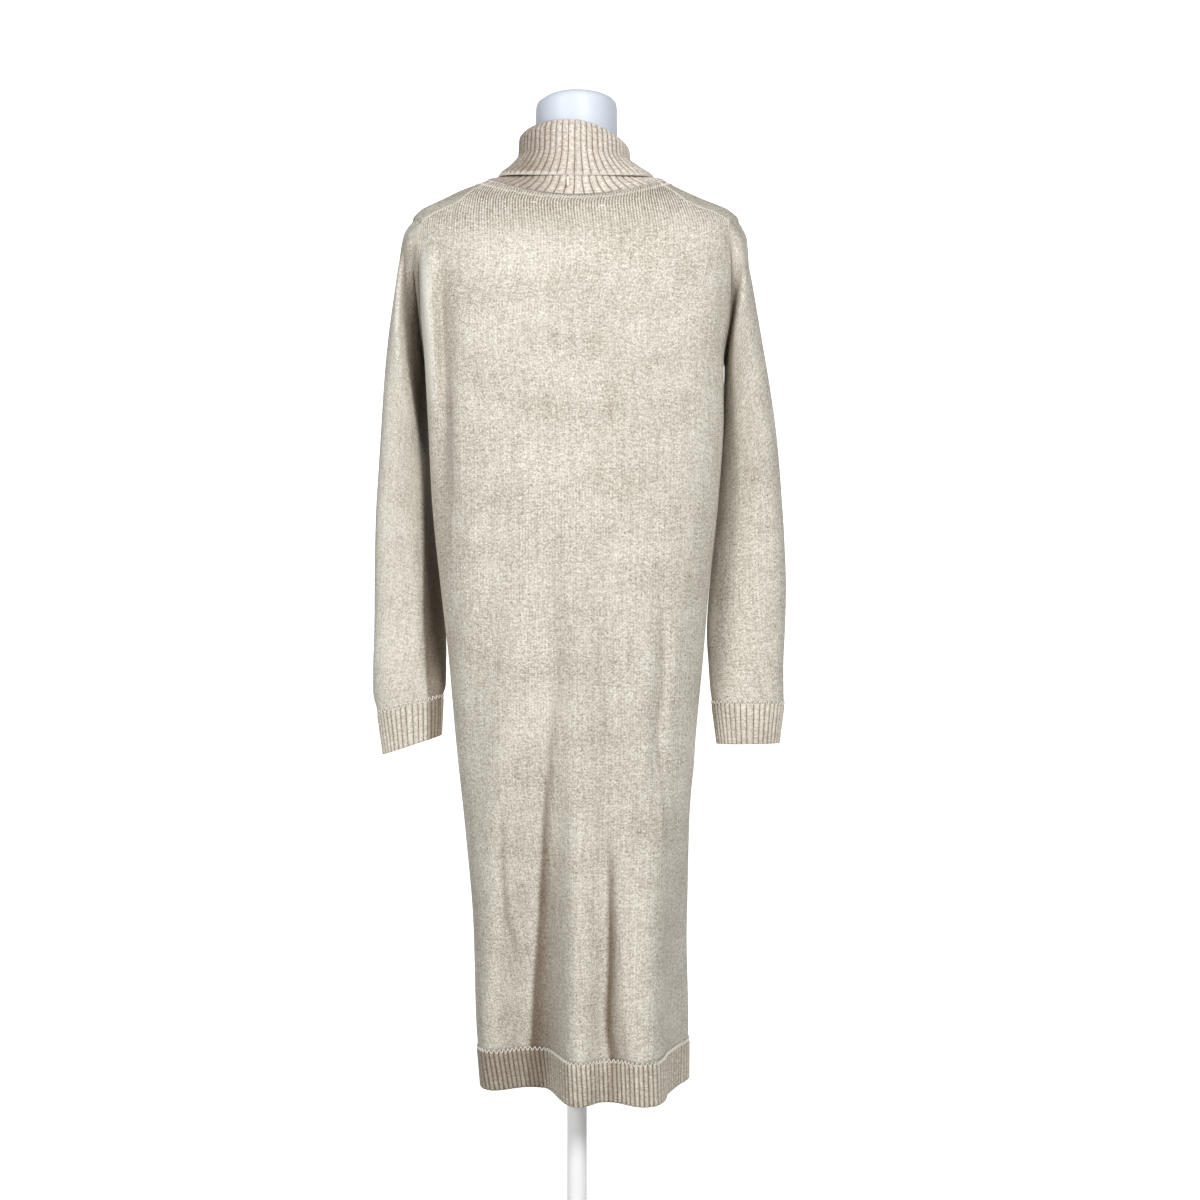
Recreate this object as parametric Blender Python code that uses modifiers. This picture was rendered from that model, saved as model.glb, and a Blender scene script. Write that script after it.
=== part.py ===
"""Ribbed roll-neck sweater dress on a limbless dress form. Metres, +Z up, the dress faces -Y.

The cloth is a wall of even thickness. Every piece of the body is read from one closed surface,
body_points(angle, level): rings whose angle runs from the wearer's left side (0) round the back
(90 degrees) to the right side (180) and the front (270), and whose level is the height of the ring
at the wearer's sides. The rings lie flat up to the underarm and then lean over the shoulders to the
neck seam. The panels, hem, sleeves, collar and form all start from that surface.
"""

import math

import bpy
import numpy as np

WALL = 0.0022  # thickness of the knitted cloth
SEAM_GAP = 0.0003  # between pieces that meet at a seam
NECK_GAP = 0.0009  # between the panels and the collar, whose columns differ
ARMHOLE_GAP = 0.0006  # between the panels and a sleeve, whose rims are chords of one curve
RIB_RELIEF = 0.0011  # height of a rib over the groove beside it

HEM_Z = 0.245
HEM_RIB = 0.050
UNDERARM_Z = 1.150
SHOULDER_Z = 1.3225  # ridge of the shoulder at the armhole seam
NECK_Z = 1.373  # ridge of the shoulder at the neck seam

PANEL_COLUMNS = 24
SKIRT_ROWS = 13
ARMHOLE_ROWS = 10
YOKE_ROWS = 4
HEM_RIBS = 166
CUFF_RIBS = 38
COLLAR_RIBS = 57
FORM_COLUMNS = 26
POLE_SIDES = 32
BASE_SIDES = 40
ARC_SAMPLES = 2400  # points along a ring that its even steps are measured on
ARC_MARGIN = 0.5  # how far in radians they run beyond each end of a panel
SMALL_STEP = 0.002  # down and round the neck seam, to find its normals
SMALL_TURN = 0.01

ARMHOLE_BACK = 0.045  # how far the armhole seam runs behind and before its middle line
ARMHOLE_FRONT = 0.075
SHOULDER_SEAM_Y = 0.035  # the shoulder seam lies this far behind the ridge
NECK_SEAM_Y = 0.026
ARMHOLE_DEPTH = 0.060  # half depth of the oval that the sleeve would start with if it had no armhole

POLE_RADIUS = 0.0125
POLE_SHARP = math.radians(40)  # edges sharper than this stay sharp
BASE_RADIUS = 0.150
BASE_THICK = 0.012
BASE_EDGE = 0.003
HUB_RADIUS = 0.026
HUB_TOP = 0.034
AXIS_MERGE = 0.00005  # points of the turned base this near its axis become one
FORM_BOTTOM_Z = 0.700

# Rings of the body: height at the sides (the level), at the middle of the back and of the front,
# half widths to the wearer's left and right, depths behind and before the middle, and the power of
# the superellipse.
RING_COLUMNS = ("side_z", "back_z", "front_z", "left", "right", "back", "front", "power")
BODY_RINGS = (
    (0.2450, 0.2450, 0.2450, 0.1195, 0.1515, 0.1300, 0.1400, 2.24),
    (0.3325, 0.3325, 0.3325, 0.1262, 0.1481, 0.1245, 0.1380, 2.28),
    (0.4440, 0.4440, 0.4440, 0.1292, 0.1425, 0.1190, 0.1340, 2.32),
    (0.5560, 0.5560, 0.5560, 0.1385, 0.1423, 0.1165, 0.1300, 2.33),
    (0.6625, 0.6625, 0.6625, 0.1497, 0.1472, 0.1170, 0.1290, 2.33),
    (0.7875, 0.7875, 0.7875, 0.1609, 0.1584, 0.1200, 0.1290, 2.35),
    (0.8640, 0.8640, 0.8640, 0.1696, 0.1646, 0.1180, 0.1270, 2.40),
    (0.9750, 0.9750, 0.9750, 0.1807, 0.1765, 0.1110, 0.1230, 2.50),
    (1.0800, 1.0800, 1.0800, 0.1858, 0.1829, 0.1060, 0.1270, 2.70),
    (1.1500, 1.1500, 1.1500, 0.1896, 0.1828, 0.1060, 0.1290, 2.90),
    (1.2000, 1.1900, 1.1850, 0.1940, 0.1900, 0.1070, 0.1270, 3.00),
    (1.2600, 1.2350, 1.2250, 0.1990, 0.1955, 0.1050, 0.1180, 3.00),
    (1.3000, 1.2680, 1.2550, 0.2030, 0.1995, 0.1010, 0.1080, 2.95),
    (1.3225, 1.2880, 1.2720, 0.2045, 0.2015, 0.0970, 0.1000, 2.85),
    (1.3350, 1.3020, 1.2860, 0.1950, 0.1900, 0.0925, 0.0960, 2.70),
    (1.3500, 1.3200, 1.3050, 0.1660, 0.1560, 0.0840, 0.0890, 2.45),
    (1.3610, 1.3340, 1.3180, 0.1440, 0.1320, 0.0750, 0.0835, 2.25),
    (1.3730, 1.3445, 1.3300, 0.1125, 0.1090, 0.0630, 0.0780, 2.10),
)

# Folds of the cloth, each a line up one face of the dress. At each height: where the line runs (x on
# the back and the front, y on the sides), how deep the fold is (a ridge where negative), and how wide
# it is towards + and towards - of its line.
FOLD_COLUMNS = ("z", "line", "depth", "plus_width", "minus_width")
BACK_FOLDS = {
    "deep": (
        (0.245, 0.0430, 0.1050, 0.0595, 0.0255),
        (0.330, 0.0425, 0.0880, 0.0565, 0.0255),
        (0.444, 0.0395, 0.0630, 0.0500, 0.0245),
        (0.550, 0.0360, 0.0370, 0.0430, 0.0225),
        (0.640, 0.0320, 0.0190, 0.0370, 0.0210),
        (0.750, 0.0245, 0.0110, 0.0340, 0.0230),
        (0.850, 0.0240, 0.0070, 0.0340, 0.0250),
        (0.960, 0.0270, 0.0000, 0.0300, 0.0300),
    ),
    "narrow": (
        (0.245, -0.0350, 0.0270, 0.0200, 0.0320),
        (0.300, -0.0385, 0.0230, 0.0200, 0.0240),
        (0.345, -0.0380, 0.0195, 0.0200, 0.0165),
        (0.400, -0.0385, 0.0160, 0.0190, 0.0140),
        (0.520, -0.0390, 0.0100, 0.0190, 0.0140),
        (0.640, -0.0400, 0.0000, 0.0200, 0.0200),
    ),
    "left_drop": (
        (0.520, 0.1330, 0.0000, 0.0200, 0.0200),
        (0.655, 0.1260, 0.0060, 0.0180, 0.0200),
        (0.790, 0.1080, 0.0070, 0.0200, 0.0220),
        (0.880, 0.0960, 0.0060, 0.0220, 0.0240),
        (1.060, 0.1000, 0.0000, 0.0240, 0.0240),
    ),
    "left_blade": (
        (0.860, 0.1580, 0.0000, 0.0140, 0.0140),
        (0.960, 0.1570, 0.0050, 0.0130, 0.0130),
        (1.050, 0.1630, 0.0080, 0.0140, 0.0130),
        (1.160, 0.1600, 0.0090, 0.0130, 0.0140),
        (1.240, 0.1660, 0.0050, 0.0140, 0.0160),
        (1.300, 0.1660, 0.0000, 0.0160, 0.0160),
    ),
    "right_ridge": (
        (0.245, -0.0935, -0.0170, 0.0350, 0.0215),
        (0.330, -0.0940, -0.0150, 0.0320, 0.0205),
        (0.444, -0.0965, -0.0110, 0.0260, 0.0190),
        (0.620, -0.1000, 0.0000, 0.0200, 0.0180),
    ),
    "right_crease": (
        (0.580, -0.1040, 0.0000, 0.0090, 0.0090),
        (0.690, -0.0980, 0.0050, 0.0090, 0.0090),
        (0.790, -0.1050, 0.0050, 0.0090, 0.0090),
        (0.860, -0.1000, 0.0000, 0.0100, 0.0100),
    ),
}
FRONT_FOLDS = {
    "deep": (
        (0.245, -0.0520, 0.0620, 0.0340, 0.0480),
        (0.350, -0.0480, 0.0500, 0.0310, 0.0440),
        (0.480, -0.0430, 0.0280, 0.0280, 0.0380),
        (0.620, -0.0340, 0.0120, 0.0260, 0.0340),
        (0.780, -0.0300, 0.0000, 0.0280, 0.0320),
    ),
    "narrow": (
        (0.245, 0.0360, 0.0340, 0.0240, 0.0260),
        (0.360, 0.0400, 0.0250, 0.0200, 0.0240),
        (0.500, 0.0440, 0.0130, 0.0190, 0.0220),
        (0.680, 0.0460, 0.0000, 0.0200, 0.0200),
    ),
    "left_drop": (
        (0.480, 0.1040, 0.0000, 0.0200, 0.0200),
        (0.640, 0.1060, 0.0080, 0.0180, 0.0200),
        (0.820, 0.0980, 0.0070, 0.0200, 0.0200),
        (1.020, 0.0900, 0.0000, 0.0240, 0.0240),
    ),
    "right_drop": (
        (0.560, -0.1120, 0.0000, 0.0200, 0.0200),
        (0.740, -0.1080, 0.0070, 0.0200, 0.0180),
        (0.900, -0.0960, 0.0060, 0.0220, 0.0200),
        (1.100, -0.0860, 0.0000, 0.0240, 0.0240),
    ),
}
LEFT_FOLDS = {
    "hollow": (
        (0.245, -0.0560, 0.0130, 0.0380, 0.0420),
        (0.400, -0.0520, 0.0090, 0.0360, 0.0400),
        (0.620, -0.0480, 0.0000, 0.0360, 0.0360),
    ),
}
RIGHT_FOLDS = {
    "hollow": (
        (0.245, 0.0435, 0.0310, 0.0470, 0.0700),
        (0.330, 0.0440, 0.0265, 0.0450, 0.0640),
        (0.444, 0.0440, 0.0180, 0.0420, 0.0540),
        (0.550, 0.0430, 0.0085, 0.0400, 0.0460),
        (0.640, 0.0420, 0.0000, 0.0400, 0.0420),
    ),
}
FOLD_POWER = 2.5  # 2 would be a bell curve: above it, folds are flatter below and steeper at the sides
FOLD_FADE = 0.030  # folds die out this close to the edges of their face

# Rings of a sleeve's inner face after the armhole seam: its outer and its inner point (distance from the middle
# of the body, forward or back, height), half its depth, and how much of the armhole's own outline
# is left. The last row is the seam of the cuff.
SLEEVE_COLUMNS = ("out_x", "out_y", "out_z", "in_x", "in_y", "in_z", "depth", "armhole")
SLEEVE_LEFT = (
    (0.2080, 0.004, 1.3020, 0.1928, -0.006, 1.1430, 0.064, 0.55),
    (0.2192, 0.006, 1.2680, 0.1926, -0.020, 1.1280, 0.065, 0.20),
    (0.2246, 0.008, 1.2280, 0.1912, -0.032, 1.1050, 0.064, 0.05),
    (0.2300, 0.010, 1.1800, 0.1900, -0.040, 1.0750, 0.062, 0.00),
    (0.2350, 0.012, 1.1300, 0.1880, -0.045, 1.0420, 0.059, 0.00),
    (0.2400, 0.013, 1.0750, 0.1862, -0.051, 1.0050, 0.055, 0.00),
    (0.2445, 0.014, 1.0150, 0.1822, -0.052, 0.9620, 0.051, 0.00),
    (0.2480, 0.014, 0.9500, 0.1780, -0.052, 0.9120, 0.046, 0.00),
    (0.2492, 0.014, 0.8800, 0.1718, -0.048, 0.8550, 0.041, 0.00),
    (0.2497, 0.013, 0.8150, 0.1688, -0.035, 0.8050, 0.037, 0.00),
    (0.2508, 0.012, 0.7650, 0.1672, -0.024, 0.7700, 0.034, 0.00),
    (0.2512, 0.010, 0.7350, 0.1672, -0.015, 0.7450, 0.031, 0.00),
    (0.2460, 0.008, 0.7115, 0.1708, -0.010, 0.7300, 0.027, 0.00),
)
SLEEVE_RIGHT = (
    (0.2030, 0.004, 1.2980, 0.1882, -0.006, 1.1430, 0.064, 0.55),
    (0.2112, 0.004, 1.2620, 0.1878, -0.020, 1.1280, 0.066, 0.20),
    (0.2198, 0.004, 1.2200, 0.1866, -0.032, 1.1050, 0.066, 0.05),
    (0.2292, 0.004, 1.1700, 0.1858, -0.040, 1.0750, 0.065, 0.00),
    (0.2378, 0.004, 1.1200, 0.1845, -0.045, 1.0420, 0.062, 0.00),
    (0.2460, 0.003, 1.0620, 0.1825, -0.050, 1.0050, 0.058, 0.00),
    (0.2520, 0.002, 0.9980, 0.1788, -0.050, 0.9620, 0.053, 0.00),
    (0.2562, 0.001, 0.9300, 0.1735, -0.048, 0.9120, 0.048, 0.00),
    (0.2578, 0.000, 0.8650, 0.1680, -0.042, 0.8550, 0.043, 0.00),
    (0.2572, -0.001, 0.8050, 0.1656, -0.030, 0.8050, 0.038, 0.00),
    (0.2565, -0.002, 0.7650, 0.1672, -0.019, 0.7650, 0.035, 0.00),
    (0.2565, -0.002, 0.7400, 0.1688, -0.011, 0.7400, 0.032, 0.00),
    (0.2564, -0.002, 0.7220, 0.1713, -0.005, 0.7220, 0.028, 0.00),
)
CUFF_COLUMNS = SLEEVE_COLUMNS[:-1]
CUFF_END_LEFT = (0.2390, 0.005, 0.6585, 0.1725, -0.005, 0.6800, 0.021)
CUFF_END_RIGHT = (0.2500, -0.002, 0.6715, 0.1780, -0.002, 0.6705, 0.022)
SLEEVE_POWER = 2.2

# Section of the folded collar, on the surface that faces the neck, goes over the fold and then faces
# outwards: half widths to the left and right, depths behind and before, heights at the sides, back
# and front, how much higher the left side is than the right, and which side of the wall has ribs.
COLLAR_COLUMNS = (
    "left", "right", "back", "front", "side_z", "back_z", "front_z", "tilt", "ribs_over", "ribs_under",
)
COLLAR_ROWS = (
    (0.0840, 0.0820, 0.0595, 0.0725, 1.3775, 1.3620, 1.3460, 0.000, 0, 1),
    (0.0625, 0.0585, 0.0545, 0.0620, 1.4030, 1.4050, 1.3860, 0.002, 0, 0),
    (0.0655, 0.0610, 0.0585, 0.0630, 1.4230, 1.4370, 1.4190, 0.008, 1, 0),
    (0.0705, 0.0640, 0.0625, 0.0672, 1.4180, 1.4270, 1.4090, 0.007, 1, 0),
    (0.0718, 0.0655, 0.0640, 0.0700, 1.4020, 1.4030, 1.3880, 0.003, 1, 0),
    (0.0810, 0.0770, 0.0675, 0.0770, 1.3920, 1.3860, 1.3720, 0.002, 1, 0),
    (0.0988, 0.0970, 0.0765, 0.0890, 1.3790, 1.3710, 1.3570, 0.0025, 1, 0),
)

# The form: how far its surface lies inside the outside of the cloth, by level, and its neck.
INSET_COLUMNS = ("level", "inset")
FORM_INSETS = (
    (0.700, 0.062),
    (0.703, 0.044),
    (0.712, 0.029),
    (0.735, 0.022),
    (0.800, 0.019),
    (0.880, 0.023),
    (0.980, 0.036),
    (1.060, 0.028),
    (1.150, 0.015),
    (1.220, 0.0095),
    (1.290, 0.0070),
    (1.3225, 0.0055),
    (1.345, 0.0050),
    (1.361, 0.0048),
    (1.373, 0.0048),
)
FORM_NECK = (
    (1.3725, 1.3600, 1.3440, 0.0860, 0.0840, 0.0540, 0.0655, 2.0),
    (1.3830, 1.3800, 1.3680, 0.0640, 0.0620, 0.0512, 0.0575, 2.0),
    (1.4000, 1.4000, 1.3900, 0.0545, 0.0530, 0.0502, 0.0530, 2.0),
    (1.4300, 1.4300, 1.4280, 0.0518, 0.0505, 0.0500, 0.0520, 2.0),
    (1.4620, 1.4690, 1.4670, 0.0514, 0.0502, 0.0500, 0.0520, 2.0),
    (1.4705, 1.4755, 1.4745, 0.0490, 0.0488, 0.0485, 0.0500, 2.0),
    (1.4740, 1.4785, 1.4775, 0.0435, 0.0455, 0.0445, 0.0460, 2.0),
)

MATERIALS = {  # colour, roughness, metallic
    "knit_cloth": ((0.50, 0.43, 0.34, 1.0), 0.90, 0.0),
    "rib_cloth": ((0.47, 0.40, 0.31, 1.0), 0.90, 0.0),
    "form_shell": ((0.80, 0.81, 0.84, 1.0), 0.55, 0.0),
    "stand_paint": ((0.84, 0.84, 0.84, 1.0), 0.35, 0.0),
}


def columns_at(names, rows, at):
    """The table's columns at the heights `at`, by name, on smooth curves through its rows."""
    table = np.array(rows, dtype=float)
    knots = table[:, 0]
    at = np.clip(at, knots[0], knots[-1])
    k = np.clip(np.searchsorted(knots, at, side="right") - 1, 0, len(knots) - 2)
    span = knots[k + 1] - knots[k]
    t = (at - knots[k]) / span
    found = {}
    for j, name in enumerate(names):
        value = table[:, j]
        step = np.diff(value) / np.diff(knots)
        both = step[1:] * step[:-1]
        inner = np.where(both > 0, 2 * both / (step[1:] + step[:-1] + 1e-30), 0)
        slope = np.concatenate([step[:1], inner, step[-1:]])
        found[name] = (
            (2 * t**3 - 3 * t**2 + 1) * value[k]
            + (t**3 - 2 * t**2 + t) * span * slope[k]
            + (3 * t**2 - 2 * t**3) * value[k + 1]
            + (t**3 - t**2) * span * slope[k + 1]
        )
    return found


def folds_at(folds, across, z):
    """How deep all the folds of one face are at x (or y, on a side) and z."""
    total = np.zeros_like(across)
    for rows in folds.values():
        fold = columns_at(FOLD_COLUMNS, rows, z)
        away = across - fold["line"]
        width = np.where(away > 0, fold["plus_width"], fold["minus_width"])
        inside = (z <= rows[-1][0]) & (z >= rows[0][0])
        total += np.where(inside, fold["depth"], 0) * np.exp(-(np.abs(away / width) ** FOLD_POWER))
    return total


def ring_points(ring, angle):
    """Points of a closed ring: a superellipse with four half axes, whose height changes round it."""
    exponent = 2 / ring["power"]
    across = np.sign(np.cos(angle)) * np.abs(np.cos(angle)) ** exponent
    along = np.sign(np.sin(angle)) * np.abs(np.sin(angle)) ** exponent
    x = across * np.where(across > 0, ring["left"], ring["right"])
    y = along * np.where(along > 0, ring["back"], ring["front"])
    middle_z = np.where(along > 0, ring["back_z"], ring["front_z"])
    z = ring["side_z"] + (middle_z - ring["side_z"]) * along**2
    return x, y, z


def body_points(angle, level, folded=True):
    """The outside of the dress at an angle round it and a level up it."""
    angle, level = np.broadcast_arrays(np.asarray(angle, float), np.asarray(level, float))
    ring = columns_at(RING_COLUMNS, BODY_RINGS, level)
    x, y, z = ring_points(ring, angle)
    if folded:
        depth = np.where(y > 0, folds_at(BACK_FOLDS, x, level), folds_at(FRONT_FOLDS, x, level))
        inwards = np.where(x > 0, folds_at(LEFT_FOLDS, y, level), folds_at(RIGHT_FOLDS, y, level))
        moved_x = x - np.sign(x) * np.tanh(np.abs(x) / FOLD_FADE) * inwards
        y = y - np.sign(y) * np.tanh(np.abs(y) / FOLD_FADE) * depth
        x = moved_x
    return np.stack([x, y, z], axis=-1)


def side_angle(level, y):
    """The angle at which the ring of this level passes y on the wearer's left."""
    ring = columns_at(RING_COLUMNS, BODY_RINGS, np.array([level]))
    depth = ring["back"][0] if y > 0 else ring["front"][0]
    share = min(abs(y) / depth, 1.0) ** (ring["power"][0] / 2)
    return math.copysign(math.asin(share), y)


def unit(vectors):
    return vectors / np.linalg.norm(vectors, axis=-1, keepdims=True)


def seam_y(row_name, step):
    """Where the two panels end at the sides of a row: (back panel's y, front panel's y)."""
    if row_name == "skirt":
        return 0.0, 0.0
    if row_name == "armhole":
        phase = math.pi * step
        up = SHOULDER_SEAM_Y * (1 - math.cos(phase)) / 2
        return ARMHOLE_BACK * math.sin(phase) + up, -ARMHOLE_FRONT * math.sin(phase) + up
    y = SHOULDER_SEAM_Y + (NECK_SEAM_Y - SHOULDER_SEAM_Y) * step
    return y, y


def panel_rows():
    """Every row of a panel from the hem rib up, as (level, the back panel's end y, the front's end y)."""
    rows = []
    for k in range(SKIRT_ROWS):
        start = HEM_Z + HEM_RIB + SEAM_GAP
        rows.append((start + (UNDERARM_Z - start) * k / SKIRT_ROWS, *seam_y("skirt", 0)))
    for k in range(ARMHOLE_ROWS):
        rise = (1 - math.cos(math.pi * k / ARMHOLE_ROWS)) / 2
        level = UNDERARM_Z + (SHOULDER_Z - UNDERARM_Z) * rise
        rows.append((level, *seam_y("armhole", k / ARMHOLE_ROWS)))
    for k in range(YOKE_ROWS + 1):
        level = SHOULDER_Z + (NECK_Z - SHOULDER_Z) * k / YOKE_ROWS
        rows.append((level, *seam_y("yoke", k / YOKE_ROWS)))
    return rows


def stretch(level, first, last, count):
    """count + 1 points at even steps along a ring between two angles, and one more beyond each end."""
    angle = np.linspace(first - ARC_MARGIN, last + ARC_MARGIN, ARC_SAMPLES)
    points = body_points(angle, level)
    arc = np.concatenate([[0], np.cumsum(np.linalg.norm(np.diff(points, axis=0), axis=1))])
    start = np.interp(first, angle, arc) + SEAM_GAP / 2
    stop = np.interp(last, angle, arc) - SEAM_GAP / 2
    at = start + (stop - start) / count * np.arange(-1, count + 2)
    return np.stack([np.interp(at, arc, points[:, k]) for k in range(3)], axis=1)


def surface_normals(grid, wrap):
    """Unit normals of a grid of points, whose columns run anticlockwise and whose rows run upwards."""
    if wrap:
        across = unit(np.roll(grid, -1, axis=1) - grid)
        across = across + np.roll(across, 1, axis=1)
    else:
        step = unit(np.diff(grid, axis=1))
        across = np.concatenate([step[:, :1], step[:, 1:] + step[:, :-1], step[:, -1:]], axis=1)
    rise = unit(np.diff(grid, axis=0))
    up = np.concatenate([rise[:1], rise[1:] + rise[:-1], rise[-1:]], axis=0)
    return unit(np.cross(across, up))


def flatten(normals, axis):
    """Normals of a rim turned square to an axis, so that two rims that meet there stay parallel."""
    axis = np.asarray(axis, float)
    return unit(normals - (normals @ axis)[..., None] * axis)


def wall_faces(rows, columns, wrap):
    """Quads of a wall: its outer grid of points, then its inner grid, and the rims that join them."""
    index = np.arange(rows * columns).reshape(rows, columns)
    if wrap:
        index = np.concatenate([index, index[:, :1]], axis=1)
    inner = index + rows * columns

    def quads(a, b, c, d):
        return np.stack([a, b, c, d], axis=-1).reshape(-1, 4)

    parts = [
        quads(index[:-1, :-1], index[:-1, 1:], index[1:, 1:], index[1:, :-1]),
        quads(inner[:-1, :-1], inner[1:, :-1], inner[1:, 1:], inner[:-1, 1:]),
        quads(index[0, :-1], inner[0, :-1], inner[0, 1:], index[0, 1:]),
        quads(index[-1, :-1], index[-1, 1:], inner[-1, 1:], inner[-1, :-1]),
    ]
    if not wrap:
        parts.append(quads(index[:-1, 0], index[1:, 0], inner[1:, 0], inner[:-1, 0]))
        parts.append(quads(index[:-1, -1], inner[:-1, -1], inner[1:, -1], index[1:, -1]))
    return np.concatenate(parts)


def make_material(name):
    colour, roughness, metallic = MATERIALS[name]
    material = bpy.data.materials.new(name)
    material.use_nodes = True
    shader = material.node_tree.nodes["Principled BSDF"]
    shader.inputs["Base Color"].default_value = colour
    shader.inputs["Roughness"].default_value = roughness
    shader.inputs["Metallic"].default_value = metallic
    material.diffuse_color = colour


def make_object(name, points, faces, material):
    mesh = bpy.data.meshes.new(name)
    mesh.from_pydata(points.tolist(), [], faces)
    mesh.materials.append(bpy.data.materials[material])
    mesh.shade_smooth()
    made = bpy.data.objects.new(name, mesh)
    bpy.data.collections["sweater_dress"].objects.link(made)


def make_wall(name, outer, inner, wrap, material):
    rows, columns = outer.shape[:2]
    points = np.concatenate([outer.reshape(-1, 3), inner.reshape(-1, 3)])
    make_object(name, points, wall_faces(rows, columns, wrap).tolist(), material)


def panel(name):
    """The back or the front, as a wall under its part of the body's surface."""
    grid = []
    for level, back_y, front_y in panel_rows():
        if name == "back":
            side = side_angle(level, back_y)
            grid.append(stretch(level, side, math.pi - side, PANEL_COLUMNS))
        else:
            side = side_angle(level, front_y)
            grid.append(stretch(level, math.pi - side, 2 * math.pi + side, PANEL_COLUMNS))
    grid = np.array(grid)
    normals = surface_normals(grid, wrap=False)[:, 1:-1]
    normals[0] = flatten(normals[0], (0, 0, 1))
    outer = grid[:, 1:-1]
    make_wall(name, outer, outer - WALL * normals, False, "knit_cloth")


def ribbed(columns):
    """The relief of a rib at every second column."""
    return RIB_RELIEF * (np.arange(columns) % 2)


def hem(name):
    """Half of the hem's ribbed band, below the back or the front."""
    first, last = (0, math.pi) if name == "hem_back" else (math.pi, 2 * math.pi)
    levels = (HEM_Z, HEM_Z + HEM_RIB)
    grid = np.array([stretch(level, first, last, HEM_RIBS) for level in levels])
    normals = flatten(surface_normals(grid, wrap=False), (0, 0, 1))[:, 1:-1]
    base = grid[:, 1:-1]
    relief = ribbed(base.shape[1])[None, :, None] * normals
    make_wall(name, base + relief, base - WALL * normals, False, "rib_cloth")


def armhole_loop(side):
    """The armhole seam as points from its top round the back and the underarm to the front, closed."""
    loop = []
    for step in range(2 * ARMHOLE_ROWS):
        up = 1 - step / ARMHOLE_ROWS if step <= ARMHOLE_ROWS else step / ARMHOLE_ROWS - 1
        level = UNDERARM_Z + (SHOULDER_Z - UNDERARM_Z) * (1 - math.cos(math.pi * up)) / 2
        back_y, front_y = seam_y("armhole", up)
        angle = side_angle(level, back_y if step <= ARMHOLE_ROWS else front_y)
        loop.append(body_points(angle if side > 0 else math.pi - angle, level))
    return np.array(loop)


def sleeve_ring(row, side, count):
    """A ring of the sleeve: an oval through its outer and inner points, starting at the outer one."""
    angle = 2 * np.pi * np.arange(count) / count
    exponent = 2 / SLEEVE_POWER
    across = np.sign(np.cos(angle)) * np.abs(np.cos(angle)) ** exponent
    along = np.sign(np.sin(angle)) * np.abs(np.sin(angle)) ** exponent
    outside = np.array([side * row["out_x"], row["out_y"], row["out_z"]])
    inside = np.array([side * row["in_x"], row["in_y"], row["in_z"]])
    middle, half = (outside + inside) / 2, (outside - inside) / 2
    return middle + across[:, None] * half + along[:, None] * np.array([0, row["depth"], 0])


def ring_axis(row, side):
    """The direction in which a sleeve runs at a ring, square to the ring."""
    half = np.array([side * (row["out_x"] - row["in_x"]), 0, row["out_z"] - row["in_z"]])
    return unit(np.cross(half, (0, 1, 0)))


def sleeve(name, side, table):
    """A tube from the armhole seam to the cuff, whose first rings keep some of the armhole's outline."""
    count = 2 * ARMHOLE_ROWS
    loop = armhole_loop(side)
    top, bottom = loop[0], loop[ARMHOLE_ROWS]
    start = {
        "out_x": side * top[0], "out_y": 0.0, "out_z": top[2],
        "in_x": side * bottom[0], "in_y": 0.0, "in_z": bottom[2], "depth": ARMHOLE_DEPTH,
    }
    own = loop - sleeve_ring(start, side, count)
    rings = [loop + np.array([side * ARMHOLE_GAP, 0, 0])]
    rows = [dict(zip(SLEEVE_COLUMNS, values)) for values in table]
    for row in rows:
        rings.append(sleeve_ring(row, side, count) + row["armhole"] * own)
    grid = np.array(rings)[::-1]
    grid = grid if side > 0 else grid[:, ::-1]
    normals = surface_normals(grid, wrap=True)
    normals[-1] = flatten(normals[-1] + unit(grid[-1] - grid[-1].mean(axis=0)), (1, 0, 0))
    normals[0] = flatten(normals[0], ring_axis(rows[-1], side))
    make_wall(name, grid + WALL * normals, grid, True, "knit_cloth")


def cuff(name, side, table, end):
    """A ribbed band below the sleeve, from its seam to the open end."""
    count = 2 * CUFF_RIBS
    top = dict(zip(SLEEVE_COLUMNS, table[-1]))
    bottom = dict(zip(CUFF_COLUMNS, end))
    axis = ring_axis(top, side)
    down = axis if axis[2] < 0 else -axis
    rings = [sleeve_ring(bottom, side, count), sleeve_ring(top, side, count) + SEAM_GAP * down]
    grid = np.array(rings)
    grid = grid if side > 0 else grid[:, ::-1]
    normals = surface_normals(grid, wrap=True)
    normals[0] = flatten(normals[0], ring_axis(bottom, side))
    normals[-1] = flatten(normals[-1], axis)
    outer = grid + (WALL + ribbed(count)[None, :, None]) * normals
    make_wall(name, outer, grid, True, "rib_cloth")


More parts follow.
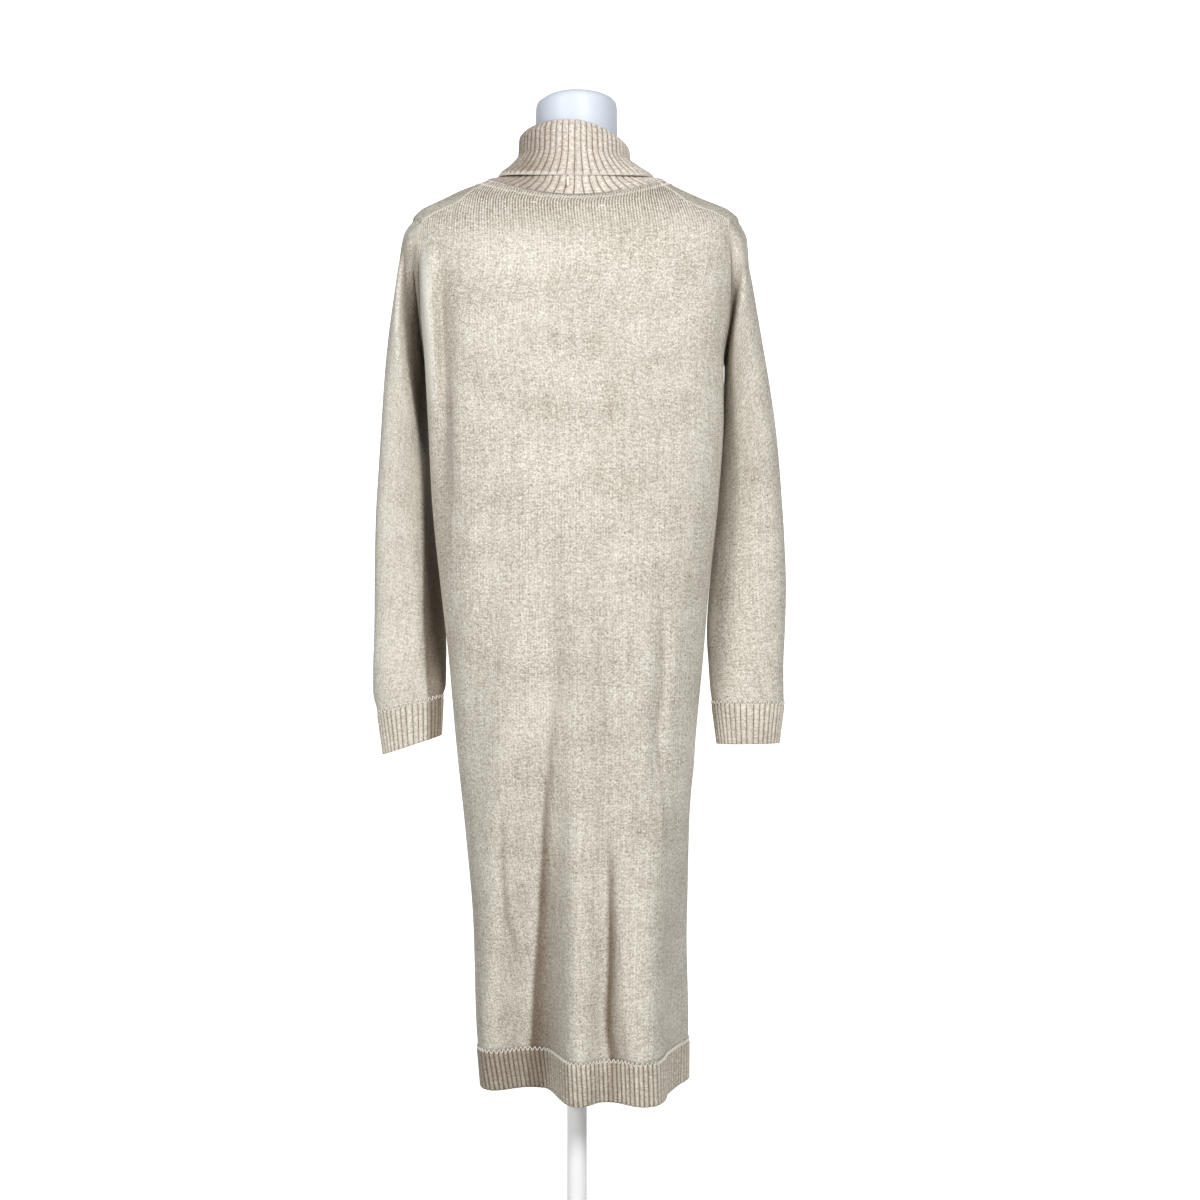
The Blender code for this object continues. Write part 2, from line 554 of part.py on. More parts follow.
def collar(name):
    """One ribbed tube from the neck seam up round the neck, over a fold and down outside itself."""
    count = 2 * COLLAR_RIBS
    angle = 2 * np.pi * np.arange(count) / count
    seam = body_points(angle, NECK_Z, folded=False)
    below = body_points(angle, NECK_Z - SMALL_STEP, folded=False)
    ahead = body_points(angle + SMALL_TURN, NECK_Z, folded=False)
    seam_normals = unit(np.cross(ahead - seam, seam - below))
    seam = seam + NECK_GAP * unit(seam - below)
    rings = [seam - WALL * seam_normals]
    over, under = [0], [1]
    for values in COLLAR_ROWS:
        row = dict(zip(COLLAR_COLUMNS, values))
        x, y, z = ring_points({**row, "power": 2.0}, angle)
        rings.append(np.stack([x, y, z + row["tilt"] * np.cos(angle)], axis=1))
        over.append(row["ribs_over"])
        under.append(row["ribs_under"])
    grid = np.array(rings)
    normals = -surface_normals(grid, wrap=True)
    normals[0] = -seam_normals
    relief = ribbed(count)[None, :, None]
    facing_out = grid + np.array(over)[:, None, None] * relief * normals
    facing_in = grid - (WALL + np.array(under)[:, None, None] * relief) * normals
    make_wall(name, facing_in, facing_out, True, "rib_cloth")


def form(name):
    """The limbless form: the body's surface moved in and unfolded, with a neck, closed at both ends."""
    angle = 2 * np.pi * np.arange(FORM_COLUMNS) / FORM_COLUMNS
    table = dict(zip(INSET_COLUMNS, np.array(FORM_INSETS).T))
    levels = table["level"]
    grid = body_points(angle[None, :], levels[:, None], folded=False)
    grid = grid - table["inset"][:, None, None] * surface_normals(grid, wrap=True)
    grid[levels < UNDERARM_Z, :, 2] = levels[levels < UNDERARM_Z][:, None]
    neck = []
    for values in FORM_NECK:
        x, y, z = ring_points(dict(zip(RING_COLUMNS, values)), angle)
        neck.append(np.stack([x, y, z], axis=1))
    grid = np.concatenate([grid, np.array(neck)])
    rows = len(grid)
    index = np.arange(rows * FORM_COLUMNS).reshape(rows, FORM_COLUMNS)
    index = np.concatenate([index, index[:, :1]], axis=1)
    sides = np.stack([index[:-1, :-1], index[:-1, 1:], index[1:, 1:], index[1:, :-1]], axis=-1)
    faces = sides.reshape(-1, 4).tolist()
    faces.append(index[0, :-1][::-1].tolist())
    faces.append(index[-1, :-1].tolist())
    make_object(name, grid.reshape(-1, 3), faces, "form_shell")


def pole(name):
    """A straight tube from the base's hub to the underside of the form."""
    bottom, top = HUB_TOP + SEAM_GAP, FORM_BOTTOM_Z - SEAM_GAP
    bpy.ops.mesh.primitive_cylinder_add(
        vertices=POLE_SIDES, radius=POLE_RADIUS, depth=top - bottom, location=(0, 0, (top + bottom) / 2)
    )
    made = bpy.context.object
    made.name = name
    made.data.name = name
    made.data.materials.append(bpy.data.materials["stand_paint"])
    made.data.shade_smooth()
    made.data.set_sharp_from_angle(angle=POLE_SHARP)
    for collection in made.users_collection:
        collection.objects.unlink(made)
    bpy.data.collections["sweater_dress"].objects.link(made)


def base(name):
    """A flat round plate with a low hub, turned from one profile."""
    profile = (
        (0.0, HUB_TOP),
        (HUB_RADIUS - BASE_EDGE, HUB_TOP),
        (HUB_RADIUS, HUB_TOP - BASE_EDGE),
        (HUB_RADIUS, BASE_THICK),
        (BASE_RADIUS - BASE_EDGE, BASE_THICK),
        (BASE_RADIUS, BASE_THICK - BASE_EDGE),
        (BASE_RADIUS, 0.0),
        (0.0, 0.0),
    )
    edges = [(k, k + 1) for k in range(len(profile) - 1)]
    mesh = bpy.data.meshes.new(name)
    mesh.from_pydata([(r, 0, z) for r, z in profile], edges, [])
    mesh.materials.append(bpy.data.materials["stand_paint"])
    made = bpy.data.objects.new(name, mesh)
    bpy.data.collections["sweater_dress"].objects.link(made)
    screw = made.modifiers.new("turn", "SCREW")
    screw.steps = BASE_SIDES
    screw.render_steps = BASE_SIDES
    screw.use_merge_vertices = True
    screw.merge_threshold = AXIS_MERGE
    screw.use_smooth_shade = False


def main():
    for old in list(bpy.data.objects):
        bpy.data.objects.remove(old, do_unlink=True)
    collection = bpy.data.collections.new("sweater_dress")
    bpy.context.scene.collection.children.link(collection)
    for name in MATERIALS:
        make_material(name)
    panel("back")
    panel("front")
    hem("hem_back")
    hem("hem_front")
    sleeve("sleeve_left", 1, SLEEVE_LEFT)
    sleeve("sleeve_right", -1, SLEEVE_RIGHT)
    cuff("cuff_left", 1, SLEEVE_LEFT, CUFF_END_LEFT)
    cuff("cuff_right", -1, SLEEVE_RIGHT, CUFF_END_RIGHT)
    collar("collar")
    form("form_torso")
    pole("stand_pole")
    base("stand_base")


main()
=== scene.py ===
import math

import bpy
import numpy as np
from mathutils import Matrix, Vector


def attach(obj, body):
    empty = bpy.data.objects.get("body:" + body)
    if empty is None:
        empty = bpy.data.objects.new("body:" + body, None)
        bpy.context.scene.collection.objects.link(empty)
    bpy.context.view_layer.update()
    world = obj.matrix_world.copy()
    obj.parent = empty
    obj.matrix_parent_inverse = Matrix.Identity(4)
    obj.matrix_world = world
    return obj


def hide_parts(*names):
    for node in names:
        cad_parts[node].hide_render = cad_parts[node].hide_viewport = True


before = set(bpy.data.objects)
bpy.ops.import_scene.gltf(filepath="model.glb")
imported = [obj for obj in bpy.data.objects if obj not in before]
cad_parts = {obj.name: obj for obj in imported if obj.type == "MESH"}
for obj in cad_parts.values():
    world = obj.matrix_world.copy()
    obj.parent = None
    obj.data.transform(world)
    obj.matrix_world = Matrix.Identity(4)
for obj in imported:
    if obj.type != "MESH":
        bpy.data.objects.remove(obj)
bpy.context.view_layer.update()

# A ribbed roll-neck sweater dress on a limbless dress form, in metres with +Z up. The front faces -Y.
cloth = {
    "wall": 0.0022,  # thickness of the knit
    "seamGap": 0.0003,
    "neckGap": 0.0009,
    "armholeGap": 0.0005,
    "hemZ": 0.245,
    "hemRib": 0.050,
    "underarmZ": 1.150,
    "shoulderZ": 1.3225,
    "neckZ": 1.373,
    "armholeBack": 0.012,  # how far the armhole seam runs behind and before its middle line
    "armholeFront": 0.075,
    "armholeDepth": 0.060,
    # level and y of the seam behind the ridge of the shoulder
    "shoulderSeam": ((1.3225, 0.054), (1.338, 0.055), (1.348, 0.052), (1.361, 0.038), (1.373, 0.026)),
    "foldFade": 0.030,  # folds die out this close to the edges of their face
    "foldTop": 1.30,  # and above this level, over this height
    "foldTopFade": 0.06,
    "creaseSplit": -0.03,  # before this y the painted crease shade is that of the front
    "sleevePower": 2.2,
    "ribRound": 0.8,  # power of the sine that shapes each rib
    "probe": 0.002,  # the slope of the cloth at a seam is taken this far below it
}

# Rings of the body: height at the sides, at the middle of the back and of the front, half widths to the
# left and right, depths behind and before, power of the superellipse.
bodyRings = (
    (0.245, 0.245, 0.245, 0.1197, 0.1514, 0.13, 0.14, 2.24),
    (0.3325, 0.3325, 0.3325, 0.1262, 0.1481, 0.1245, 0.138, 2.28),
    (0.444, 0.444, 0.444, 0.1292, 0.1425, 0.119, 0.134, 2.32),
    (0.556, 0.556, 0.556, 0.1385, 0.1423, 0.1165, 0.13, 2.33),
    (0.6625, 0.6625, 0.6625, 0.1497, 0.1472, 0.117, 0.129, 2.33),
    (0.7875, 0.7875, 0.7875, 0.1609, 0.1584, 0.12, 0.129, 2.35),
    (0.864, 0.864, 0.864, 0.1696, 0.1646, 0.118, 0.127, 2.4),
    (0.975, 0.975, 0.975, 0.1807, 0.1765, 0.111, 0.123, 2.5),
    (1.08, 1.08, 1.08, 0.1858, 0.1829, 0.106, 0.127, 2.7),
    (1.15, 1.15, 1.15, 0.1896, 0.1828, 0.106, 0.129, 2.9),
    (1.2, 1.19, 1.185, 0.194, 0.19, 0.107, 0.127, 3),
    (1.26, 1.235, 1.225, 0.199, 0.1955, 0.105, 0.118, 3),
    (1.3, 1.268, 1.255, 0.203, 0.1995, 0.101, 0.108, 2.95),
    (1.3225, 1.288, 1.272, 0.2045, 0.2015, 0.097, 0.1, 2.85),
    (1.335, 1.302, 1.286, 0.195, 0.19, 0.0925, 0.096, 2.7),
    (1.35, 1.32, 1.305, 0.166, 0.156, 0.084, 0.089, 2.45),
    (1.361, 1.334, 1.318, 0.144, 0.132, 0.075, 0.0835, 2.25),
    (1.373, 1.3445, 1.33, 0.1125, 0.109, 0.063, 0.078, 2.1),
)

# Folds up each face: height, line (x on the back and front, y on the sides), depth (a ridge where
# negative), width towards + and towards - of the line.
backFolds = {
    "deep": {"power": 2.5, "rows": (
        (0.245, 0.043, 0.105, 0.0595, 0.0255), (0.33, 0.0425, 0.088, 0.0565, 0.0255),
        (0.444, 0.0395, 0.063, 0.05, 0.0245), (0.55, 0.036, 0.037, 0.043, 0.0225),
        (0.64, 0.032, 0.019, 0.037, 0.021), (0.75, 0.0245, 0.011, 0.034, 0.023),
        (0.85, 0.024, 0.007, 0.034, 0.025), (0.96, 0.027, 0, 0.03, 0.03),
    )},
    "narrow": {"power": 2.5, "rows": (
        (0.245, -0.035, 0.027, 0.02, 0.032), (0.3, -0.0385, 0.023, 0.02, 0.024),
        (0.345, -0.038, 0.0195, 0.02, 0.0165), (0.4, -0.0385, 0.016, 0.019, 0.014),
        (0.52, -0.039, 0.01, 0.019, 0.014), (0.64, -0.04, 0, 0.02, 0.02),
    )},
    "leftDrop": {"power": 2.5, "rows": (
        (0.52, 0.133, 0, 0.02, 0.02), (0.655, 0.126, 0.006, 0.018, 0.02),
        (0.79, 0.108, 0.007, 0.02, 0.022), (0.88, 0.096, 0.006, 0.022, 0.024),
        (1.06, 0.1, 0, 0.024, 0.024),
    )},
    "leftBlade": {"power": 2.5, "rows": (
        (0.86, 0.158, 0, 0.014, 0.014), (0.96, 0.157, 0.005, 0.013, 0.013),
        (1.05, 0.166, 0.011, 0.013, 0.014), (1.16, 0.164, 0.013, 0.013, 0.015),
        (1.24, 0.167, 0.008, 0.014, 0.016), (1.3, 0.166, 0, 0.016, 0.016),
    )},
    "rightRidge": {"power": 2.5, "rows": (
        (0.245, -0.0935, -0.017, 0.035, 0.0215), (0.33, -0.094, -0.015, 0.032, 0.0205),
        (0.444, -0.0965, -0.011, 0.026, 0.019), (0.62, -0.1, 0, 0.02, 0.018),
    )},
    "leftCrease": {"power": 2.0, "rows": (
        (0.38, 0.07, 0, 0.008, 0.006), (0.43, 0.0755, 0.003, 0.008, 0.006),
        (0.504, 0.0873, 0.004, 0.008, 0.006), (0.557, 0.0897, 0.003, 0.008, 0.006),
        (0.62, 0.09, 0, 0.008, 0.006),
    )},
    "leftRidge": {"power": 4.0, "rows": (
        (1.02, 0.176, 0, 0.008, 0.014), (1.08, 0.178, -0.012, 0.007, 0.014),
        (1.15, 0.181, -0.02, 0.007, 0.014), (1.22, 0.184, -0.02, 0.007, 0.014),
        (1.27, 0.186, -0.01, 0.008, 0.014), (1.3, 0.188, 0, 0.008, 0.014),
    )},
    "rightCrease": {"power": 2.5, "rows": (
        (0.58, -0.104, 0, 0.009, 0.009), (0.69, -0.098, 0.005, 0.009, 0.009),
        (0.79, -0.105, 0.005, 0.009, 0.009), (0.86, -0.1, 0, 0.01, 0.01),
    )},
}
frontFolds = {
    "deep": {"power": 2.5, "rows": (
        (0.245, -0.052, 0.062, 0.034, 0.048), (0.35, -0.048, 0.05, 0.031, 0.044),
        (0.48, -0.043, 0.028, 0.028, 0.038), (0.62, -0.034, 0.012, 0.026, 0.034),
        (0.78, -0.03, 0, 0.028, 0.032),
    )},
    "narrow": {"power": 2.5, "rows": (
        (0.245, 0.036, 0.034, 0.024, 0.026), (0.36, 0.04, 0.025, 0.02, 0.024),
        (0.5, 0.044, 0.013, 0.019, 0.022), (0.68, 0.046, 0, 0.02, 0.02),
    )},
    "leftDrop": {"power": 2.5, "rows": (
        (0.48, 0.104, 0, 0.02, 0.02), (0.64, 0.106, 0.008, 0.018, 0.02),
        (0.82, 0.098, 0.007, 0.02, 0.02), (1.02, 0.09, 0, 0.024, 0.024),
    )},
    "rightDrop": {"power": 2.5, "rows": (
        (0.56, -0.112, 0, 0.02, 0.02), (0.74, -0.108, 0.007, 0.02, 0.018),
        (0.9, -0.096, 0.006, 0.022, 0.02), (1.1, -0.086, 0, 0.024, 0.024),
    )},
}
leftFolds = {
    "hollow": {"power": 2.5, "rows": (
        (0.245, -0.056, 0.013, 0.038, 0.042), (0.4, -0.052, 0.009, 0.036, 0.04),
        (0.62, -0.048, 0, 0.036, 0.036),
    )},
}
rightFolds = {
    "hollow": {"power": 2.5, "rows": (
        (0.245, 0.0435, 0.031, 0.047, 0.07), (0.33, 0.044, 0.0265, 0.045, 0.064),
        (0.444, 0.044, 0.018, 0.042, 0.054), (0.55, 0.043, 0.0085, 0.04, 0.046),
        (0.64, 0.042, 0, 0.04, 0.042),
    )},
}

# Lines of painted shade, and of painted highlight where the strength is negative: height, x, strength, how
# far it reaches towards + and towards -.
backCreases = (
    (
        (0.245, 0.0585, 0.8, 0.0035, 0.03), (0.3, 0.055, 0.8, 0.0035, 0.026),
        (0.394, 0.0495, 0.78, 0.0035, 0.02), (0.444, 0.0455, 0.74, 0.0035, 0.017),
        (0.5, 0.042, 0.76, 0.0035, 0.013), (0.55, 0.0395, 0.7, 0.0035, 0.009),
        (0.6, 0.037, 0.58, 0.0035, 0.008), (0.66, 0.031, 0.36, 0.0045, 0.008),
        (0.76, 0.0215, 0.2, 0.006, 0.012), (0.86, 0.021, 0.14, 0.006, 0.012),
        (0.96, 0.026, 0, 0.006, 0.012),
    ),
    (
        (0.245, -0.04, 0.55, 0.004, 0.012), (0.29, -0.043, 0.75, 0.004, 0.012),
        (0.34, -0.0385, 0.85, 0.004, 0.01), (0.444, -0.0415, 0.8, 0.004, 0.008),
        (0.51, -0.0415, 0.6, 0.004, 0.006), (0.58, -0.04, 0, 0.004, 0.006),
    ),
    (
        (0.4, 0.072, 0, 0.003, 0.004), (0.43, 0.0755, 0.3, 0.003, 0.005),
        (0.461, 0.0837, 0.38, 0.003, 0.005), (0.504, 0.0873, 0.38, 0.003, 0.005),
        (0.557, 0.0897, 0.28, 0.003, 0.005), (0.6, 0.09, 0, 0.003, 0.005),
    ),
    (
        (0.54, -0.109, 0, 0.003, 0.003), (0.565, -0.108, 0.2, 0.003, 0.003),
        (0.64, -0.1025, 0.26, 0.003, 0.003), (0.694, -0.096, 0.26, 0.003, 0.003),
        (0.759, -0.1034, 0.26, 0.003, 0.003), (0.8235, -0.101, 0.18, 0.003, 0.003),
        (0.86, -0.1, 0, 0.003, 0.003),
    ),
    (
        (0.86, 0.1545, 0, 0.014, 0.002), (0.9, 0.154, 0.14, 0.016, 0.002),
        (0.953, 0.152, 0.2, 0.018, 0.002), (1.043, 0.15, 0.26, 0.018, 0.003),
        (1.1, 0.156, 0.3, 0.01, 0.006), (1.16, 0.16, 0.3, 0.007, 0.008),
        (1.212, 0.162, 0.2, 0.007, 0.008), (1.26, 0.164, 0, 0.008, 0.008),
    ),
    # A painted highlight along the ridge at the left of the back.
    (
        (1.03, 0.178, 0, 0.008, 0.007), (1.08, 0.179, -0.25, 0.008, 0.007),
        (1.15, 0.182, -0.75, 0.008, 0.007), (1.24, 0.185, -0.75, 0.008, 0.007),
        (1.28, 0.187, -0.2, 0.008, 0.007), (1.31, 0.188, 0, 0.008, 0.007),
    ),
    (
        (0.52, -0.025, 0, 0.014, 0.014), (0.6, -0.0262, 0.1, 0.014, 0.014),
        (0.86, -0.0262, 0.08, 0.014, 0.014), (0.96, -0.025, 0, 0.014, 0.014),
    ),
    (
        (0.245, 0.118, 0.16, 0.02, 0.012), (0.44, 0.124, 0.16, 0.02, 0.012),
        (0.6, 0.136, 0.1, 0.02, 0.01), (0.76, 0.15, 0, 0.02, 0.01),
    ),
)
frontCreases = (
    (
        (0.245, -0.062, 0.7, 0.018, 0.004), (0.35, -0.055, 0.62, 0.014, 0.004),
        (0.48, -0.047, 0.45, 0.01, 0.004), (0.62, -0.036, 0.2, 0.008, 0.005),
        (0.76, -0.03, 0, 0.008, 0.006),
    ),
    (
        (0.245, 0.036, 0.55, 0.004, 0.01), (0.36, 0.04, 0.45, 0.004, 0.008),
        (0.5, 0.044, 0.25, 0.004, 0.006), (0.62, 0.046, 0, 0.004, 0.006),
    ),
    (
        (0.52, 0.106, 0, 0.003, 0.004), (0.64, 0.107, 0.22, 0.003, 0.004),
        (0.78, 0.1, 0.2, 0.003, 0.004), (0.9, 0.095, 0, 0.003, 0.004),
    ),
)

# Uneven waves of a hanging knit: how high, how wide, and how far and how fast their phase drifts.
waves = {
    "slow": {"height": 0.0008, "wide": 0.021, "drift": 3.1, "rate": 4.3},
    "broad": {"height": 0.0009, "wide": 0.037, "drift": 1.7, "rate": 6.1},
    "level": {"height": 0.0003, "wide": 0.043, "drift": 2.2, "rate": 0.05},
    "calmZ": 1.05,  # the slow ones die out up to this level, over this height, down to this share
    "calmOver": 0.7,
    "calmShare": 0.15,
    "backPhase": 1.0,
    "frontPhase": 4.0,
}


# A table read at `at` on cubic curves through its rows, level where the rows turn back.
def smoothRows(knots, values, at):
    knots = np.asarray(knots, float)
    values = np.asarray(values, float)
    at = np.clip(at, knots[0], knots[-1])
    spread = (...,) + (None,) * (values.ndim - 1)
    step = np.diff(values, axis=0) / np.diff(knots)[spread]
    both = step[1:] * step[:-1]
    inner = np.where(both > 0, 2 * both / (step[1:] + step[:-1] + 1e-30), 0)
    slope = np.concatenate([step[:1], inner, step[-1:]])
    k = np.clip(np.searchsorted(knots, at, side="right") - 1, 0, len(knots) - 2)
    span = (knots[k + 1] - knots[k])[spread]
    t = (at - knots[k])[spread] / span
    return (
        (2 * t**3 - 3 * t**2 + 1) * values[k]
        + (t**3 - 2 * t**2 + t) * span * slope[k]
        + (3 * t**2 - 2 * t**3) * values[k + 1]
        + (t**3 - t**2) * span * slope[k + 1]
    )


def tableAt(rows, at):
    table = np.array(rows, float)
    return np.moveaxis(smoothRows(table[:, 0], table[:, 1:], at), -1, 0)


# The line, strength and distance / width of a fold or crease at x (or y, on a side) and a level. It has
# no strength beyond its first and last rows, and its width is one towards + and another towards -.
def lineAt(rows, across, level):
    line, strength, plusWidth, minusWidth = tableAt(rows, level)
    inside = (level >= rows[0][0]) & (level <= rows[-1][0])
    away = across - line
    return np.where(inside, strength, 0), away / np.where(away > 0, plusWidth, minusWidth)


# Depth of all folds of a face: depth * exp(-|distance / width| ** power) for each.
def foldsAt(folds, across, level):
    total = 0 * across
    for fold in folds.values():
        depth, away = lineAt(fold["rows"], across, level)
        total = total + depth * np.exp(-np.abs(away) ** fold["power"])
    return total


# Painted shade in the creases of a face, painted highlight where a strength is negative: strength *
# exp(-(distance / width) ** 2) for each.
def creasesAt(creases, across, level):
    total = 0 * across
    for rows in creases:
        strength, away = lineAt(rows, across, level)
        total = total + strength * np.exp(-away ** 2)
    return total


# Angles of even steps round.
def turns(count):
    return 2 * np.pi * np.arange(count) / count


# Cosine and sine bent to a superellipse: |value| ** (2 / power), with its sign.
def ovalTurns(angle, power):
    return [np.sign(turn) * np.abs(turn) ** (2 / power) for turn in (np.cos(angle), np.sin(angle))]


# A closed superellipse with four half axes, whose height changes round it with the square of its depth.
def ringPoints(ring, angle):
    sideZ, backZ, frontZ, left, right, back, front, power = ring
    across, along = ovalTurns(angle, power)
    x = across * np.where(across > 0, left, right)
    y = along * np.where(along > 0, back, front)
    z = sideZ + (np.where(along > 0, backZ, frontZ) - sideZ) * along**2
    return x, y, z


# The waves at x and a level: sines across the face whose phase drifts with height, and one up it.
def wavesAt(across, level, side):
    slow, broad, flat = waves["slow"], waves["broad"], waves["level"]
    low = np.clip((waves["calmZ"] - level) / waves["calmOver"], waves["calmShare"], 1)
    slowly = np.sin(across / slow["wide"] + slow["drift"] * np.sin(level * slow["rate"] + side) + side)
    drift = broad["drift"] * np.sin(level * broad["rate"] - side)
    broadly = np.sin(across / broad["wide"] + drift + 2 * side)
    flatly = np.sin(level / flat["wide"] + flat["drift"] * np.sin(across / flat["rate"]) + side)
    return slow["height"] * low * slowly + broad["height"] * broadly + flat["height"] * flatly


# The outside of the dress at an angle round it (0 is its left side, 90 degrees the back) and a level up
# it: the ring of that level, moved in by the folds and waves.
def bodyPoints(angle, level, folded=True):
    angle, level = np.broadcast_arrays(np.asarray(angle, float), np.asarray(level, float))
    row = level[:, :1] if level.ndim > 1 else level
    x, y, z = ringPoints((row, *tableAt(bodyRings, row)), angle)
    if folded:
        backDepth = foldsAt(backFolds, x, row) + wavesAt(x, row, waves["backPhase"])
        frontDepth = foldsAt(frontFolds, x, row) + wavesAt(x, row, waves["frontPhase"])
        depth = np.where(y > 0, backDepth, frontDepth)
        inwards = np.where(x > 0, foldsAt(leftFolds, y, row), foldsAt(rightFolds, y, row))
        reach = 1 - np.clip((row - cloth["foldTop"]) / cloth["foldTopFade"], 0, 1)
        sideways, behind = [np.sign(at) * np.tanh(np.abs(at) / cloth["foldFade"]) for at in (x, y)]
        x, y = x - sideways * inwards, y - behind * depth * reach
    return np.stack([x, y, z], axis=-1)


# The painted shade and highlight of the creases at points that are already on the dress.
def bodyCreases(points):
    x, y, z = np.moveaxis(points, -1, 0)
    return np.where(y > cloth["creaseSplit"], creasesAt(backCreases, x, z), creasesAt(frontCreases, x, z))


# The angle at which the ring of a level passes y on the left side.
def sideAngle(level, y):
    back, front, power = tableAt(bodyRings, level)[-3:]
    share = np.minimum(np.abs(y) / np.where(y > 0, back, front), 1)
    return np.copysign(np.arcsin(share ** (power / 2)), y)


def unit(vectors):
    return vectors / np.linalg.norm(vectors, axis=-1, keepdims=True)


# Rows of a panel from the hem rib up: their level, and y where the back and the front end at the sides.
# The armhole part bows out by half a sine on its way up and moves back to the shoulder seam.
def panelRows(skirtRows, armholeRows, yokeRows):
    start = cloth["hemZ"] + cloth["hemRib"] + cloth["seamGap"]
    skirt = np.linspace(start, cloth["underarmZ"], skirtRows, endpoint=False)
    phase = np.pi * np.arange(armholeRows) / armholeRows
    rise = (1 - np.cos(phase)) / 2
    armhole = cloth["underarmZ"] + (cloth["shoulderZ"] - cloth["underarmZ"]) * rise
    yoke = np.linspace(cloth["shoulderZ"], cloth["neckZ"], yokeRows + 1)
    yokeY = tableAt(cloth["shoulderSeam"], yoke)[0]
    flat = np.zeros(skirtRows)
    backY = np.concatenate([flat, cloth["armholeBack"] * np.sin(phase) + yokeY[0] * rise, yokeY])
    frontY = np.concatenate([flat, -cloth["armholeFront"] * np.sin(phase) + yokeY[0] * rise, yokeY])
    return np.concatenate([skirt, armhole, yoke]), backY, frontY


# Points at even steps of arc along the rings between two angles, and one more beyond each end. A step
# in depth counts `depth` times its length. Returns the grid, and the distance of its columns from the
# middle. `apart` keeps the rows apart in one interpolation.
def evenColumns(level, first, last, count, depth=1.0, samples=1500, margin=0.25, apart=20.0):
    share = np.linspace(0, 1, samples)
    angle = (first - margin)[:, None] + (last - first + 2 * margin)[:, None] * share
    points = bodyPoints(angle, level[:, None])
    step = np.linalg.norm(np.diff(points, axis=1) * (1, depth, 1), axis=-1)
    arc = np.concatenate([0 * step[:, :1], np.cumsum(step, axis=1)], axis=1)
    lift = apart * np.arange(len(level))
    angles, arcs = (angle + lift[:, None]).ravel(), (arc + lift[:, None]).ravel()
    start = np.interp(first + lift, angles, arc.ravel()) + cloth["seamGap"] / 2
    stop = np.interp(last + lift, angles, arc.ravel()) - cloth["seamGap"] / 2
    at = start[:, None] + ((stop - start) / count)[:, None] * np.arange(-1, count + 2)
    found = [np.interp((at + lift[:, None]).ravel(), arcs, points[..., k].ravel()) for k in range(3)]
    return np.stack(found, axis=-1).reshape(*at.shape, 3), at - ((start + stop) / 2)[:, None]


# From each point's neighbour before it to the one behind it, round the end where the points are closed.
def stepsAlong(points, axis, closed=False):
    if closed:
        return np.roll(points, -1, axis=axis) - np.roll(points, 1, axis=axis)
    return np.gradient(points, axis=axis)


# Unit normals of a grid whose columns run anticlockwise and whose rows run upwards.
def surfaceNormals(grid, wrap):
    return unit(np.cross(stepsAlong(grid, 1, wrap), stepsAlong(grid, 0)))


# Normals of a rim turned square to an axis.
def flatten(normals, axis):
    axis = np.asarray(axis, float)
    return unit(normals - (normals @ axis)[..., None] * axis)


# Distance up the rows of a grid, the same for a whole row: the sum of the mean steps between rows.
def lengthUp(grid):
    step = np.linalg.norm(np.diff(grid, axis=0), axis=-1).mean(axis=1)
    return np.concatenate([[0], np.cumsum(step)])


# |sin| ** ribRound across a band, one bump for each rib, and the ribs' places on the flat map.
def ribWave(steps, perRib):
    return np.abs(np.sin(np.pi * np.arange(steps) / perRib)) ** cloth["ribRound"]


def ribMap(steps, perRib):
    return np.arange(steps) / perRib * 2 * ribLook["wale"]


def quads(a, b, c, d):
    return np.stack([a, b, c, d], axis=-1).reshape(-1, 4)


def gridIndex(grid):
    return np.arange(grid[..., 0].size).reshape(grid.shape[:2])


# Numbers of a grid's points, with its first column again after the last, and its first row if closed.
def wrappedIndex(grid, closed=False):
    index = gridIndex(grid)
    index = np.concatenate([index, index[:, :1]], axis=1)
    return np.concatenate([index, index[:1]]) if closed else index


# Quads of a wall with an outer and an inner grid and the rims that join them. A tube's last column of
# texture corners is its own, so the corners count one column more than the points.
def wallFaces(rows, columns, wrap):
    wide = columns + wrap
    outer, inner = np.arange(2 * rows * wide).reshape(2, rows, wide)
    parts = [
        quads(outer[:-1, :-1], outer[:-1, 1:], outer[1:, 1:], outer[1:, :-1]),
        quads(inner[:-1, :-1], inner[1:, :-1], inner[1:, 1:], inner[:-1, 1:]),
        quads(outer[0, :-1], inner[0, :-1], inner[0, 1:], outer[0, 1:]),
        quads(outer[-1, :-1], outer[-1, 1:], inner[-1, 1:], inner[-1, :-1]),
    ]
    if not wrap:
        parts.append(quads(outer[:-1, 0], outer[1:, 0], inner[1:, 0], inner[:-1, 0]))
        parts.append(quads(outer[:-1, -1], inner[:-1, -1], inner[1:, -1], outer[1:, -1]))
    corners = np.concatenate(parts)
    side, row, column = np.unravel_index(corners, (2, rows, wide))
    return corners, (side * rows + row) * columns + column % columns


def putObject(name, data):
    made = bpy.data.objects.new(name, data)
    bpy.context.scene.collection.objects.link(made)
    return made


# A smooth mesh. Its flat map has one place for each point, or for each number in `corners`.
def putMesh(name, points, faces, material, corners=None, flatMap=None):
    mesh = bpy.data.meshes.new(name)
    mesh.from_pydata(points.tolist(), [], faces)
    if flatMap is not None:
        if corners is None:
            corners = np.empty(len(mesh.loops), np.int32)
            mesh.loops.foreach_get("vertex_index", corners)
        layer = mesh.uv_layers.new(name="cloth")
        layer.data.foreach_set("uv", flatMap[corners.ravel()].astype(np.float32).ravel())
    mesh.materials.append(material)
    mesh.shade_smooth()
    return putObject(name, mesh)


